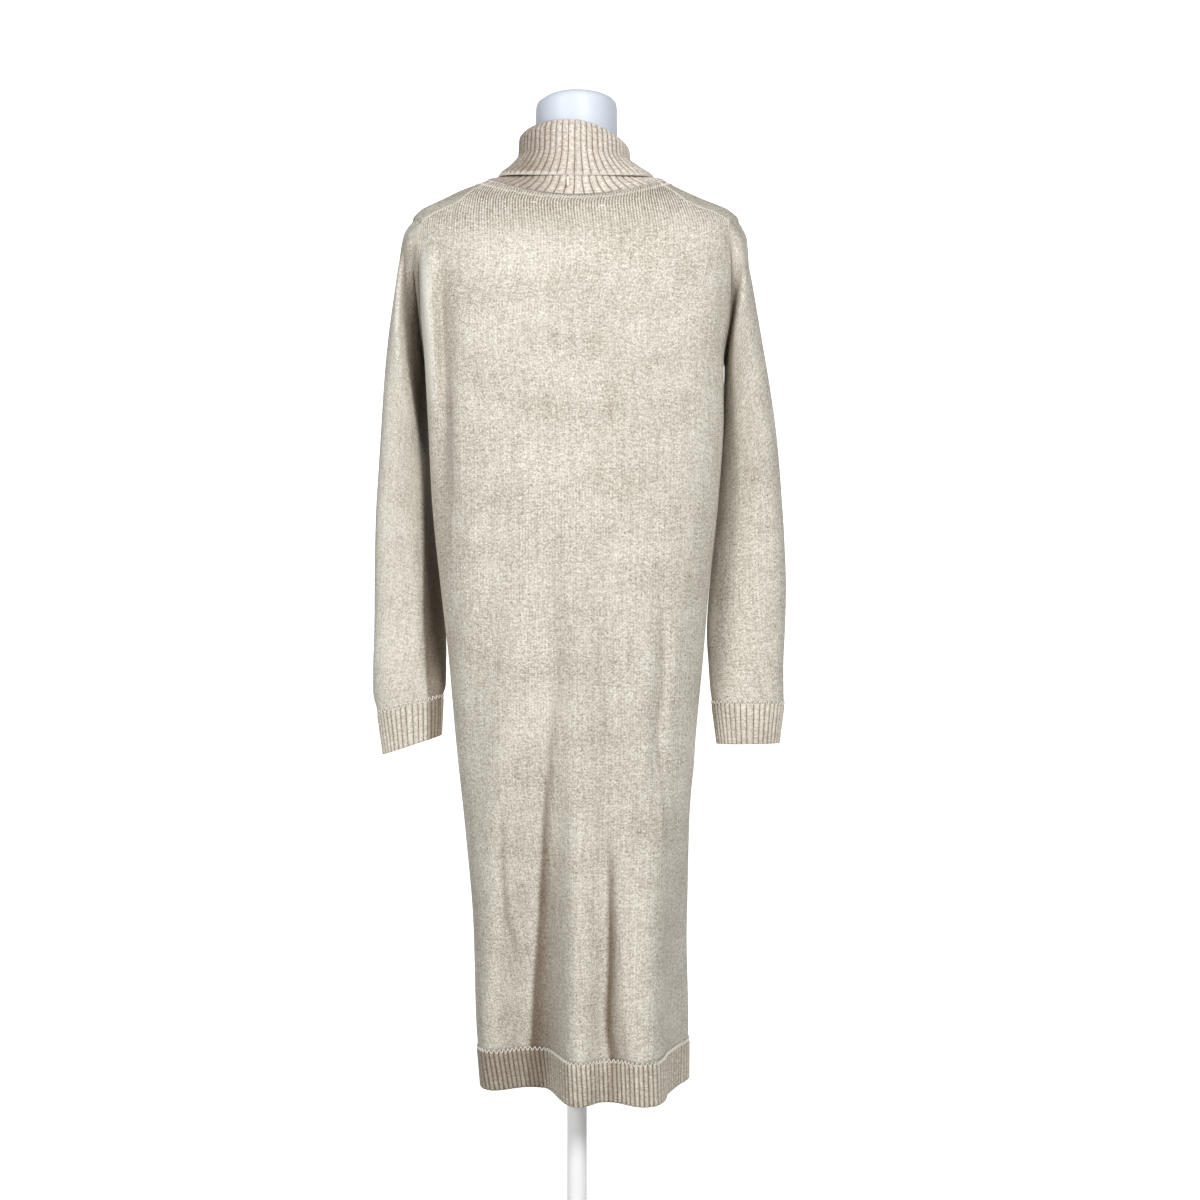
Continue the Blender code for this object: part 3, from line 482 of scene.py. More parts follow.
# A wall of cloth from its two grids. u is metres across and v metres up, so that wales hang straight.
def putWall(name, outer, inner, wrap, material, u, v, paintedLightAndTone):
    rows, columns = outer.shape[:2]
    corners, faces = wallFaces(rows, columns, wrap)
    flat = np.stack(np.broadcast_arrays(u, np.asarray(v)[:, None]), axis=-1).reshape(-1, 2)
    points = np.concatenate([outer.reshape(-1, 3), inner.reshape(-1, 3)])
    made = putMesh(name, points, faces.tolist(), material, corners, np.concatenate([flat, flat]))
    mesh = made.data
    rim = np.zeros(len(mesh.polygons), bool)
    rim[2 * (rows - 1) * (columns - 1 + wrap):] = True
    mesh.attributes.new("sharp_face", "BOOLEAN", "FACE").data.foreach_set("value", rim)
    # Per point: painted shade where positive; painted highlight, or the pale neck band, where negative.
    shades = np.tile(np.ravel(paintedLightAndTone), 2).astype(np.float32)
    mesh.attributes.new("paintedLightAndTone", "FLOAT", "POINT").data.foreach_set("value", shades)
    return made


# Rings of points, each anticlockwise, joined by quads and closed by a fan on a point at either end.
def putClosed(name, rings, foot, crown, material):
    index = wrappedIndex(rings)
    faces = quads(index[:-1, :-1], index[:-1, 1:], index[1:, 1:], index[1:, :-1]).tolist()
    low = rings[..., 0].size
    faces += [(low, b, a) for a, b in zip(index[0, :-1], index[0, 1:])]
    faces += [(low + 1, a, b) for a, b in zip(index[-1, :-1], index[-1, 1:])]
    return putMesh(name, np.concatenate([rings.reshape(-1, 3), [foot, crown]]), faces, material)


# One wired value in a material. Arithmetic on it adds Math nodes.
class Wire:
    def __init__(self, paint, socket):
        self.paint = paint
        self.socket = socket

    def math(self, operation, *others, first=None):
        values = ([first] if first is not None else []) + [self] + list(others)
        return self.paint.node("ShaderNodeMath", {"operation": operation}, dict(enumerate(values)))

    def __add__(self, other):
        return self.math("ADD", other)

    def __sub__(self, other):
        return self.math("SUBTRACT", other)

    def __rsub__(self, other):
        return self.math("SUBTRACT", first=other)

    def __mul__(self, other):
        return self.math("MULTIPLY", other)

    def __truediv__(self, other):
        return self.math("DIVIDE", other)

    def __rtruediv__(self, other):
        return self.math("DIVIDE", first=other)

    def __pow__(self, other):
        return self.math("POWER", other)

    def __rpow__(self, other):
        return self.math("POWER", first=other)

    __radd__ = __add__
    __rmul__ = __mul__


# The nodes of a material or a world, and the one way to put in more: type, settings (set first), values
# or wires of its sockets.
class Paint:
    def __init__(self, owner, ending="Principled BSDF"):
        owner.use_nodes = True
        self.owner = owner
        self.tree = owner.node_tree
        self.ending = self.tree.nodes[ending]

    def node(self, kind, settings=(), sockets=(), output=0):
        made = self.tree.nodes.new(kind)
        for key, value in dict(settings).items():
            setattr(made, key, value)
        for key, value in dict(sockets).items():
            self.feed(made, key, value)
        return Wire(self, made.outputs[output])

    def feed(self, node, key, value):
        if isinstance(value, Wire):
            self.tree.links.new(value.socket, node.inputs[key])
        else:
            node.inputs[key].default_value = value

    def part(self, vector, output):
        return self.node("ShaderNodeSeparateXYZ", {}, {0: vector}, output)

    def blend(self, factor, low, high):
        settings = {"data_type": "RGBA", "blend_type": "MIX", "clamp_factor": True}
        return self.node("ShaderNodeMix", settings, {0: factor, 6: low, 7: high}, output=2)

    def noise(self, place, scale, detail=2.0, stretch=(1, 1, 1), roughness=0.5):
        moved = self.node("ShaderNodeMapping", {}, {"Vector": place, "Scale": stretch})
        sockets = {"Vector": moved, "Scale": scale, "Detail": detail, "Roughness": roughness}
        return self.node("ShaderNodeTexNoise", {}, sockets)

    def finish(self, **values):
        for key, value in values.items():
            self.feed(self.ending, key, value)
        return self.owner


knitLook = {
    "cream": (0.93, 0.899, 0.800, 1),
    "taupe": (0.215, 0.153, 0.093, 1),
    # shade: colour of painted shade. pale: colour of painted highlight, and of the pale band of linked loops
    # at the neck.
    "shade": (0.092, 0.043, 0.011, 1),
    "pale": (0.93, 0.90, 0.82, 1),
    "wale": 0.0036,  # width of a stitch
    "course": 0.0024,  # height of a stitch
    "relief": 0.0009,
    "flecks": 700,  # for each metre
    "melange": 0.5,  # how much the flecks stand out
    "darkShare": 0.38,
    "stitchTone": 0.16,
    "stretchFrom": 1.29,  # above this level the knit is stretched and its wales show as lines
    "groove": 0.0,  # painted shade in the grooves between ribs: how dark it is
    "grooveWidth": 0.48,
}
ribLook = {
    **knitLook,
    "cream": (0.93, 0.872, 0.785, 1),
    "wale": 0.0027,
    "course": 0.0026,
    "relief": 0.0006,
    "flecks": 900,
    "melange": 0.35,
    "darkShare": 0.36,
    "groove": 0.85,
    "stretchFrom": 9.0,
}
cuffLook = {**ribLook, "cream": (0.93, 0.888, 0.775, 1), "darkShare": 0.34, "grooveWidth": 0.50}
hemLook = {**ribLook, "cream": (0.93, 0.888, 0.77, 1), "darkShare": 0.43, "grooveWidth": 0.68}
linkLook = {**knitLook, "cream": (0.97, 0.93, 0.83, 1), "melange": 0.5, "darkShare": -0.3}

# What every knit shares. Each noise: scale for each metre, detail, stretch, roughness; and how much of it
# goes into the colour.
yarnNoise = {
    "wobble": (130, 1),
    "fibre": (900, 3, (1.0, 1.0, 1.0), 0.7),
    "grain": (450, 3, (1.0, 1.15, 1.0), 0.8),
    "yarn": (85, 3, (1.0, 4.0, 1.0), 0.65),
    "cloud": (9, 2, (1.0, 2.2, 1.0), 0.5),
    "streak": (260, 2, (1.0, 0.05, 1.0), 0.5),
}
yarnTone = {"grain": 1.3, "yarn": 0.7, "streak": 0.4, "cloud": 0.4}
yarnHeight = {"stitch": 0.65, "fibre": 0.25, "grain": 0.25}  # shares of the relief
stitchShape = {
    "slant": 0.8,  # how far the legs of a V climb, in stitches
    "waleWobble": 0.16,
    "courseWobble": 0.5,
    "legRound": 0.7,
    "courseRound": 0.5,
    "stretchOver": 0.07,
    "waleTone": 1.15,  # how dark the lines between wales are where stretched, and elsewhere
    "waleLeast": 0.1,
    "bump": 0.75,
}


# Knitted cloth on its flat map: V stitches for the relief, a melange of cream and taupe fibres for colour,
# and painted shade and highlight.
def knitMaterial(name, look):
    paint = Paint(bpy.data.materials.new(name))
    place = paint.node("ShaderNodeUVMap", {"uv_map": "cloth"})
    across, up = paint.part(place, 0), paint.part(place, 1)
    noise = {key: paint.noise(place, *values) for key, values in yarnNoise.items()}
    wobble = noise["wobble"] - 0.5
    wale = (across / look["wale"] + wobble * stitchShape["waleWobble"]).math("FRACT")
    leg = (wale - 0.5).math("ABSOLUTE") * 2
    course = up / look["course"] + leg * stitchShape["slant"] + wobble * stitchShape["courseWobble"]
    legHeight = (leg * math.pi).math("SINE") ** stitchShape["legRound"]
    stitch = legHeight * (course.math("FRACT") * math.pi).math("SINE") ** stitchShape["courseRound"]
    cells = {"Vector": place, "Scale": look["flecks"]}
    fleck = paint.part(paint.node("ShaderNodeTexVoronoi", {}, cells, output="Color"), 0)
    dark = (fleck - 0.5) * look["melange"]
    for key, share in yarnTone.items():
        dark = dark + (noise[key] - 0.5) * share
    level = paint.part(paint.node("ShaderNodeTexCoord", output="Object"), 2)
    stretched = ((level - look["stretchFrom"]) / stitchShape["stretchOver"]).math("MAXIMUM", 0)
    stretched = stretched.math("MINIMUM", 1)
    dark = dark + (0.5 - leg ** 2) * (stretched * stitchShape["waleTone"] + stitchShape["waleLeast"])
    dark = dark + (0.5 - stitch) * look["stitchTone"] + look["darkShare"]
    colour = paint.blend(dark, look["cream"], look["taupe"])
    # Painted shade in the grooves between ribs.
    if look["groove"]:
        crest = (across * (math.pi / (2 * look["wale"]))).math("SINE").math("ABSOLUTE")
        groove = (look["grooveWidth"] - crest) * (look["groove"] / look["grooveWidth"])
        colour = paint.blend(groove, colour, look["shade"])
    # Painted shade where the mesh's attribute is positive; painted highlight, or the pale neck band, where it
    # is negative.
    paintedLightAndTone = paint.node("ShaderNodeAttribute", {"attribute_name": "paintedLightAndTone"}, {}, output="Fac")
    colour = paint.blend(paintedLightAndTone, colour, look["shade"])
    colour = paint.blend(paintedLightAndTone * -1, colour, look["pale"])
    height = stitch * yarnHeight["stitch"]
    for key in ("fibre", "grain"):
        height = height + noise[key] * yarnHeight[key]
    sockets = {"Strength": stitchShape["bump"], "Distance": look["relief"], "Height": height}
    return paint.finish(**{
        "Base Color": colour,
        "Roughness": 0.96,
        "Specular IOR Level": 0.16,
        "Sheen Weight": 0.10,
        "Sheen Roughness": 0.6,
        "Normal": paint.node("ShaderNodeBump", {}, sockets),
    })


formLook = {
    "white": (0.68, 0.73, 0.81, 1),
    "grey": (0.62, 0.67, 0.755, 1),
    "relief": 0.00025,
    "peel": 300,  # bumps for each metre
    "roughness": 0.42,
}
standLook = {
    "white": (0.97, 0.97, 0.97, 1),
    "grey": (0.94, 0.94, 0.94, 1),
    "relief": 0.00012,
    "peel": 240,
    "roughness": 0.28,
}
coat = {"tone": (7, 3), "gloss": (40, 2), "glossSpread": 0.12, "bump": 0.4}  # noises: scale, detail


# Sprayed shell or paint: an even coat with a faint orange peel and slow changes of tone.
def coatMaterial(name, look):
    paint = Paint(bpy.data.materials.new(name))
    place = paint.node("ShaderNodeTexCoord", output="Object")
    peel = {"Strength": coat["bump"], "Distance": look["relief"], "Height": paint.noise(place, look["peel"])}
    return paint.finish(**{
        "Base Color": paint.blend(paint.noise(place, *coat["tone"]), look["white"], look["grey"]),
        "Roughness": paint.noise(place, *coat["gloss"]) * coat["glossSpread"] + look["roughness"],
        "Normal": paint.node("ShaderNodeBump", {}, peel),
    })


stage = {
    "paper": (0.76, 0.76, 0.76, 1),
    "glow": 0.72,
    "glowFrom": -0.05,  # behind this y the stage lights the dress too, more and more over 1 / glowRise
    "glowRise": 3.0,
    "wide": 7.0,
    "near": 9.0,
    "far": -2.6,
    "bend": 1.2,
    "tall": 6.0,
    "under": 0.0005,
    "steps": 17,
}


# Floor and backdrop: plain and pale. The lens sees them white. Only the part behind the dress lights it.
def stageMaterial(name):
    paint = Paint(bpy.data.materials.new(name))
    along = paint.part(paint.node("ShaderNodeTexCoord", output="Object"), 1)
    seen = paint.node("ShaderNodeLightPath", output="Is Camera Ray")
    glow = (stage["glow"],) * 3 + (1,)
    glowing = paint.blend((stage["glowFrom"] - along) * stage["glowRise"], (0, 0, 0, 1), glow)
    return paint.finish(**{
        "Base Color": stage["paper"],
        "Roughness": 0.9,
        "Specular IOR Level": 0.1,
        "Emission Color": paint.blend(seen, glowing, (1, 1, 1, 1)),
        "Emission Strength": 1.0,
    })


panels = {
    "columns": 186,
    "skirtRows": 150,
    "armholeRows": 46,
    "yokeRows": 26,
    "paleBand": 0.009,  # a pale band of linked loops along the neck seam
    "paleFade": 0.002,
    "paleness": 0.12,
}


# The back or the front: its part of the body's surface at even steps, and the same moved in by the wall.
def panel(name):
    level, backY, frontY = panelRows(panels["skirtRows"], panels["armholeRows"], panels["yokeRows"])
    if name == "dressBack":
        first = sideAngle(level, backY)
        last = np.pi - first
    else:
        side = sideAngle(level, frontY)
        first, last = np.pi - side, 2 * np.pi + side
    grid, across = evenColumns(level, first, last, panels["columns"])
    normals = surfaceNormals(grid, wrap=False)[:, 1:-1]
    normals[0] = flatten(normals[0], (0, 0, 1))
    outer = grid[:, 1:-1]
    inner = outer - cloth["wall"] * normals
    up = lengthUp(outer)
    pale = np.clip((up - up[-1] + panels["paleBand"]) / panels["paleFade"], 0, 1) * panels["paleness"]
    # The body's painted crease shade and highlight, less the pale band of linked loops at the neck.
    return putWall(name, outer, inner, False, knit, across[:, 1:-1], up, bodyCreases(outer) - pale[:, None])


hems = {
    "ribPitch": 0.0056,
    "depth": 0.45,  # a step in depth counts for less, so ribs open up on the walls of folds
    "perRib": 8,
    "rows": 14,
    "roughColumns": 400,  # for measuring how many ribs fit
    "relief": 0.0019,
    "fadeOver": 0.004,  # the ribs fade into the linked seam
    "fadeTo": 0.25,
    # Painted shade: the left of the back from shadeFrom over shadeOver, and a share of the body's painted
    # crease shade, at most darkest.
    "leftShade": 0.38,
    "shadeFrom": 0.03,
    "shadeOver": 0.02,
    "creased": 0.5,  # share of the shade of the body's creases
    "darkest": 0.6,
}


# Half of the hem's band: ribs stand out of the body's surface as |sin|, and fade into the linked seam.
def hem(name):
    first, last = (0, np.pi) if name == "hemBack" else (np.pi, 2 * np.pi)
    level = np.linspace(cloth["hemZ"], cloth["hemZ"] + cloth["hemRib"], hems["rows"])
    first, last = np.full(len(level), float(first)), np.full(len(level), float(last))
    rough = evenColumns(level, first, last, hems["roughColumns"], hems["depth"])[1]
    count = round(float(np.ptp(rough[0])) / hems["ribPitch"]) * hems["perRib"]
    grid = evenColumns(level, first, last, count, hems["depth"])[0]
    normals = flatten(surfaceNormals(grid, wrap=False), (0, 0, 1))[:, 1:-1]
    plain = grid[:, 1:-1]
    fade = np.clip((cloth["hemZ"] + cloth["hemRib"] - level) / hems["fadeOver"], hems["fadeTo"], 1)
    relief = hems["relief"] * ribWave(count + 1, hems["perRib"]) * fade[:, None]
    outer = plain + relief[..., None] * normals
    inner = plain - cloth["wall"] * normals
    u = ribMap(count + 1, hems["perRib"])
    x, y = np.moveaxis(plain, -1, 0)[:2]
    # Painted shade on the left of the back and in the body's creases.
    tone = hems["leftShade"] * np.clip((x - hems["shadeFrom"]) / hems["shadeOver"], 0, 1) * (y > 0)
    tone = np.minimum(tone + hems["creased"] * bodyCreases(plain), hems["darkest"])
    return putWall(name, outer, inner, False, hemRib, u, level - cloth["hemZ"], tone)


# The armhole seam from its top round the back and the underarm to the front, closed.
def armholeLoop(side, count):
    turn = 2 * np.arange(count) / count
    rise = np.abs(1 - turn)
    level = cloth["underarmZ"] + (cloth["shoulderZ"] - cloth["underarmZ"]) * (1 - np.cos(np.pi * rise)) / 2
    up = cloth["shoulderSeam"][0][1] * (1 - np.cos(np.pi * rise)) / 2
    bow = np.where(turn <= 1, cloth["armholeBack"], -cloth["armholeFront"]) * np.sin(np.pi * rise)
    angle = sideAngle(level, bow + up)
    return bodyPoints((angle if side > 0 else np.pi - angle)[:, None], level[:, None])[:, 0]


# An oval through a sleeve ring's outer and inner points, starting at the outer one.
def sleeveRing(row, side, count):
    outX, outY, outZ, inX, inY, inZ, depth = row[:7]
    across, along = ovalTurns(turns(count), cloth["sleevePower"])
    outside = np.array([side * outX, outY, outZ])
    inside = np.array([side * inX, inY, inZ])
    middle, half = (outside + inside) / 2, (outside - inside) / 2
    return middle + across[:, None] * half + along[:, None] * np.array([0, depth, 0])


# The way a sleeve runs at a ring, square to the ring.
def ringAxis(row, side):
    return unit(np.cross([side * (row[0] - row[3]), 0, row[2] - row[5]], (0, 1, 0)))


# Rings of a sleeve from the armhole to the cuff: x, y, z of its outer point, of its inner point, half
# its depth, and the share of the armhole's own outline that is left.
sleeveLeft = (
    (0.208, 0.004, 1.302, 0.1928, -0.006, 1.143, 0.064, 0.55),
    (0.2192, 0.006, 1.268, 0.1926, -0.02, 1.128, 0.065, 0.2),
    (0.2246, 0.008, 1.228, 0.1912, -0.032, 1.105, 0.064, 0.05),
    (0.23, 0.01, 1.18, 0.19, -0.04, 1.075, 0.062, 0),
    (0.235, 0.012, 1.13, 0.188, -0.045, 1.042, 0.059, 0),
    (0.24, 0.013, 1.075, 0.1862, -0.051, 1.005, 0.055, 0),
    (0.2445, 0.014, 1.015, 0.1822, -0.052, 0.962, 0.051, 0),
    (0.248, 0.014, 0.95, 0.178, -0.052, 0.912, 0.046, 0),
    (0.2492, 0.014, 0.88, 0.1718, -0.048, 0.855, 0.041, 0),
    (0.2497, 0.013, 0.815, 0.1688, -0.035, 0.805, 0.037, 0),
    (0.2508, 0.012, 0.765, 0.1672, -0.024, 0.77, 0.034, 0),
    (0.2512, 0.01, 0.735, 0.1672, -0.015, 0.745, 0.031, 0),
    (0.246, 0.008, 0.7115, 0.1708, -0.01, 0.73, 0.027, 0),
)
sleeveRight = (
    (0.203, 0.004, 1.298, 0.1882, -0.006, 1.143, 0.064, 0.55),
    (0.2112, 0.004, 1.262, 0.1878, -0.02, 1.128, 0.066, 0.2),
    (0.2198, 0.004, 1.22, 0.1866, -0.032, 1.105, 0.066, 0.05),
    (0.2292, 0.004, 1.17, 0.1858, -0.04, 1.075, 0.065, 0),
    (0.2378, 0.004, 1.12, 0.1845, -0.045, 1.042, 0.062, 0),
    (0.246, 0.003, 1.062, 0.1825, -0.05, 1.005, 0.058, 0),
    (0.252, 0.002, 0.998, 0.1788, -0.05, 0.962, 0.053, 0),
    (0.2562, 0.001, 0.93, 0.1735, -0.048, 0.912, 0.048, 0),
    (0.2578, 0, 0.865, 0.168, -0.042, 0.855, 0.043, 0),
    (0.2572, -0.001, 0.805, 0.1656, -0.03, 0.805, 0.038, 0),
    (0.2565, -0.002, 0.765, 0.1672, -0.019, 0.765, 0.035, 0),
    (0.2565, -0.002, 0.74, 0.1688, -0.011, 0.74, 0.032, 0),
    (0.2564, -0.002, 0.722, 0.1713, -0.005, 0.722, 0.028, 0),
)

# Hollows of the sleeves beside the body, in the columns of the folds. They begin `joined` from the
# armhole seam. `tone` is painted light on each sleeve elsewhere: the left one painted lighter, the right one
# painted darker.
sleeveFolds = {
    "joined": 0.006,
    "tone": {"left": -0.16, "right": 0.04},
    "left": {
        "hollow": {"power": 5.0, "rows": (
            (0.735, 0.176, 0, 0.014, 0.02), (0.79, 0.177, 0.022, 0.016, 0.02),
            (0.9, 0.179, 0.036, 0.016, 0.02), (1.02, 0.183, 0.044, 0.014, 0.022),
            (1.06, 0.188, 0.046, 0.014, 0.022), (1.11, 0.196, 0.048, 0.013, 0.024),
            (1.16, 0.202, 0.048, 0.013, 0.026), (1.22, 0.205, 0.037, 0.012, 0.024),
            (1.262, 0.206, 0.024, 0.01, 0.02), (1.292, 0.206, 0.008, 0.008, 0.02),
            (1.31, 0.206, 0, 0.008, 0.02),
        )},
    },
    "right": {
        "hollow": {"power": 4.0, "rows": (
            (0.76, -0.172, 0, 0.012, 0.008), (0.9, -0.176, 0.003, 0.012, 0.008),
            (1.1, -0.182, 0.006, 0.012, 0.008), (1.14, -0.184, 0.026, 0.012, 0.007),
            (1.172, -0.187, 0.036, 0.014, 0.006), (1.205, -0.194, 0.026, 0.012, 0.005),
            (1.24, -0.2, 0.006, 0.01, 0.004), (1.26, -0.202, 0, 0.01, 0.004),
        )},
    },
}
# Shade in those hollows, from the sharp edge of the fold to the body.
sleeveCreases = {
    "left": (
        (
            (0.712, 0.183, 0.35, 0.002, 0.05), (0.739, 0.1859, 0.62, 0.0018, 0.05),
            (0.776, 0.1896, 0.74, 0.0018, 0.05), (0.85, 0.1933, 0.8, 0.0018, 0.05),
            (1.0225, 0.1933, 0.8, 0.0018, 0.05), (1.057, 0.1982, 0.8, 0.0018, 0.05),
            (1.107, 0.2056, 0.7, 0.0018, 0.05), (1.159, 0.2118, 0.54, 0.002, 0.05),
            (1.219, 0.2142, 0.46, 0.0025, 0.05), (1.27, 0.213, 0.3, 0.0035, 0.05),
            (1.3, 0.2125, 0, 0.004, 0.05),
        ),
    ),
    "right": (
        (
            (1.132, -0.18, 0, 0.02, 0.0012), (1.146, -0.1832, 0.84, 0.02, 0.0012),
            (1.1652, -0.1879, 0.88, 0.02, 0.0012), (1.1838, -0.1904, 0.82, 0.02, 0.0012),
            (1.21, -0.1962, 0.7, 0.02, 0.0012), (1.2406, -0.2015, 0.4, 0.02, 0.0012),
            (1.256, -0.2035, 0, 0.02, 0.0012),
        ),
    ),
}

sleeves = {
    "columns": 160,
    "rows": 150,
    "backSpread": 0.3,  # hollows lie on the back: they begin where the normal's y passes -0.18
    "backShare": 0.6,
    "toneFade": 4,
}
wrinkles = {
    "height": 0.0009,
    "calmEnds": 0.12,  # share of the length at each end over which they die out
    "long": (0.061, 0.031),  # lengths down the sleeve and round it
    "short": (0.037, 0.045),
    "shortShare": 0.7,
}


# A tube through the sleeve's rings, from the armhole seam to the cuff, with small folds of its own.
def sleeve(name, side, table):
    count = sleeves["columns"]
    loop = armholeLoop(side, count)
    top, bottom = loop[0], loop[count // 2]
    start = (side * top[0], 0, top[2], side * bottom[0], 0, bottom[2], cloth["armholeDepth"])
    own = loop - sleeveRing(start, side, count)
    rings = [loop + np.array([side * cloth["armholeGap"], 0, 0])]
    rings += [sleeveRing(row, side, count) + row[7] * own for row in table]
    rings = np.array(rings)[::-1]
    if side < 0:
        rings = rings[:, ::-1]
    run = lengthUp(rings.mean(axis=1)[:, None])
    at = np.linspace(0, run[-1], sleeves["rows"])
    grid = smoothRows(run, rings, at)
    normals = surfaceNormals(grid, wrap=True)
    grid = grid + sleeveWrinkles(grid, side)[..., None] * normals
    hand = "left" if side > 0 else "right"
    x, y, z = np.moveaxis(grid, -1, 0)
    backs = np.clip(normals[..., 1] / sleeves["backSpread"] + sleeves["backShare"], 0, 1)
    joined = np.clip((run[-1] - at) / sleeveFolds["joined"], 0, 1)[:, None]
    hollow = foldsAt(sleeveFolds[hand], x, z) * backs * joined**2 * (3 - 2 * joined)
    grid = np.stack([x, y - hollow, z], axis=-1)
    normals = surfaceNormals(grid, wrap=True)
    normals[-1] = flatten(normals[-1] + unit(grid[-1] - grid[-1].mean(axis=0)), (1, 0, 0))
    normals[0] = flatten(normals[0], ringAxis(table[-1], side))
    girth = np.linalg.norm(np.roll(grid, -1, axis=1) - grid, axis=-1).sum(axis=1)
    u = girth[:, None] * (np.arange(count + 1) / count - 0.5)
    # Painted shade in the hollows on the back, and each sleeve's painted light (`tone`) where that shade is
    # weak.
    paintedLightAndTone = creasesAt(sleeveCreases[hand], x, z) * backs
    paintedLightAndTone = paintedLightAndTone + sleeveFolds["tone"][hand] * np.clip(1 - sleeves["toneFade"] * paintedLightAndTone, 0, 1)
    return putWall(name, grid + cloth["wall"] * normals, grid, True, knit, u, lengthUp(grid), paintedLightAndTone)


# Small dents and swells of an empty sleeve: sines along and round it, none at its two seams.
def sleeveWrinkles(grid, side):
    y, z = np.moveaxis(grid, -1, 0)[1:]
    (longDown, longRound), (shortDown, shortRound) = wrinkles["long"], wrinkles["short"]
    share = np.linspace(0, 1, len(grid))[:, None]
    inside = np.clip(np.minimum(share, 1 - share) / wrinkles["calmEnds"], 0, 1)
    short = wrinkles["shortShare"] * np.sin(z / shortDown - y / shortRound + 2 * side)
    return wrinkles["height"] * inside * (np.sin(z / longDown + y / longRound + side) + short)


# The open ends of the cuffs, in the columns of a sleeve's rings.
cuffEndLeft = (0.239, 0.005, 0.6585, 0.1725, -0.005, 0.68, 0.021)
cuffEndRight = (0.25, -0.002, 0.6715, 0.178, -0.002, 0.6705, 0.022)
cuffs = {
    "perRib": 10,
    "ribs": 38,
    "rows": 22,
    "relief": 0.0015,
    "fadeOver": 0.08,  # share of its length over which the ribs fade into the linked seam
    "fadeTo": 0.25,
    "leftShade": 0.62,  # the left one lies in the shade of the body from this x inwards
    "shadeFrom": 0.1875,
    "shadeOver": 0.003,
}


# A ribbed band from the sleeve's last ring to the open end: straight lines, with ribs as |sin|.
def cuff(name, side, table, end):
    count = cuffs["perRib"] * cuffs["ribs"]
    axis = ringAxis(table[-1], side)
    gap = cloth["seamGap"] * (axis if axis[2] < 0 else -axis)
    rings = np.array([sleeveRing(end, side, count), sleeveRing(table[-1], side, count) + gap])
    if side < 0:
        rings = rings[:, ::-1]
    share = np.linspace(0, 1, cuffs["rows"])[:, None, None]
    grid = rings[0] + (rings[1] - rings[0]) * share
    normals = surfaceNormals(grid, wrap=True)
    normals[0] = flatten(normals[0], ringAxis(end, side))
    normals[-1] = flatten(normals[-1], axis)
    fade = np.clip((1 - share[..., 0]) / cuffs["fadeOver"], cuffs["fadeTo"], 1)
    relief = cuffs["relief"] * ribWave(count, cuffs["perRib"]) * fade
    outer = grid + (cloth["wall"] + relief)[..., None] * normals
    u = ribMap(count + 1, cuffs["perRib"])
    x, y = np.moveaxis(grid, -1, 0)[:2]
    # Painted shade on the back of the left cuff, inward of shadeFrom.
    tone = cuffs["leftShade"] * np.clip((cuffs["shadeFrom"] - x) / cuffs["shadeOver"], 0, 1)
    return putWall(name, outer, grid, True, cuffRib, u, lengthUp(grid), tone * (y > 0) * (side > 0))


# Section of the folded collar: half widths left and right, depths behind and before, heights at the
# sides, back and front, how much higher the left side is, and which side of the wall has ribs.
collarRows = (
    (0.084, 0.082, 0.0595, 0.0725, 1.3775, 1.362, 1.346, 0, 0, 1),
    (0.0625, 0.0585, 0.0545, 0.062, 1.403, 1.405, 1.386, 0.002, 0, 0),
    (0.0655, 0.061, 0.0585, 0.063, 1.423, 1.437, 1.419, 0.008, 1, 0),
    (0.0705, 0.064, 0.0625, 0.0672, 1.418, 1.427, 1.409, 0.007, 1, 0),
    (0.0718, 0.0655, 0.0622, 0.07, 1.402, 1.403, 1.388, 0.003, 1, 0),
    (0.081, 0.077, 0.0628, 0.076, 1.391, 1.386, 1.372, 0.0015, 1, 0),
    (0.0992, 0.0972, 0.0637, 0.082, 1.3784, 1.369, 1.3562, 0.0005, 1, 0),
)
collars = {
    "power": 2.0,
    "ribs": 57,
    "perRib": 10,
    "rows": 70,
    "relief": 0.0016,
    "edge": 0.006,  # the rim is rounded over this length
    "thinned": 0.7,
    "ribsLost": 0.7,
    "leftShade": 0.46,  # painted shade on the left side, away from the light
    "shadeFrom": 0.012,
    "shadeOver": 0.045,
    # A painted highlight along the rim of the fold.
    "paleRim": 0.45,
    "paleFull": 1.4,
    "paleOver": 0.0035,
}


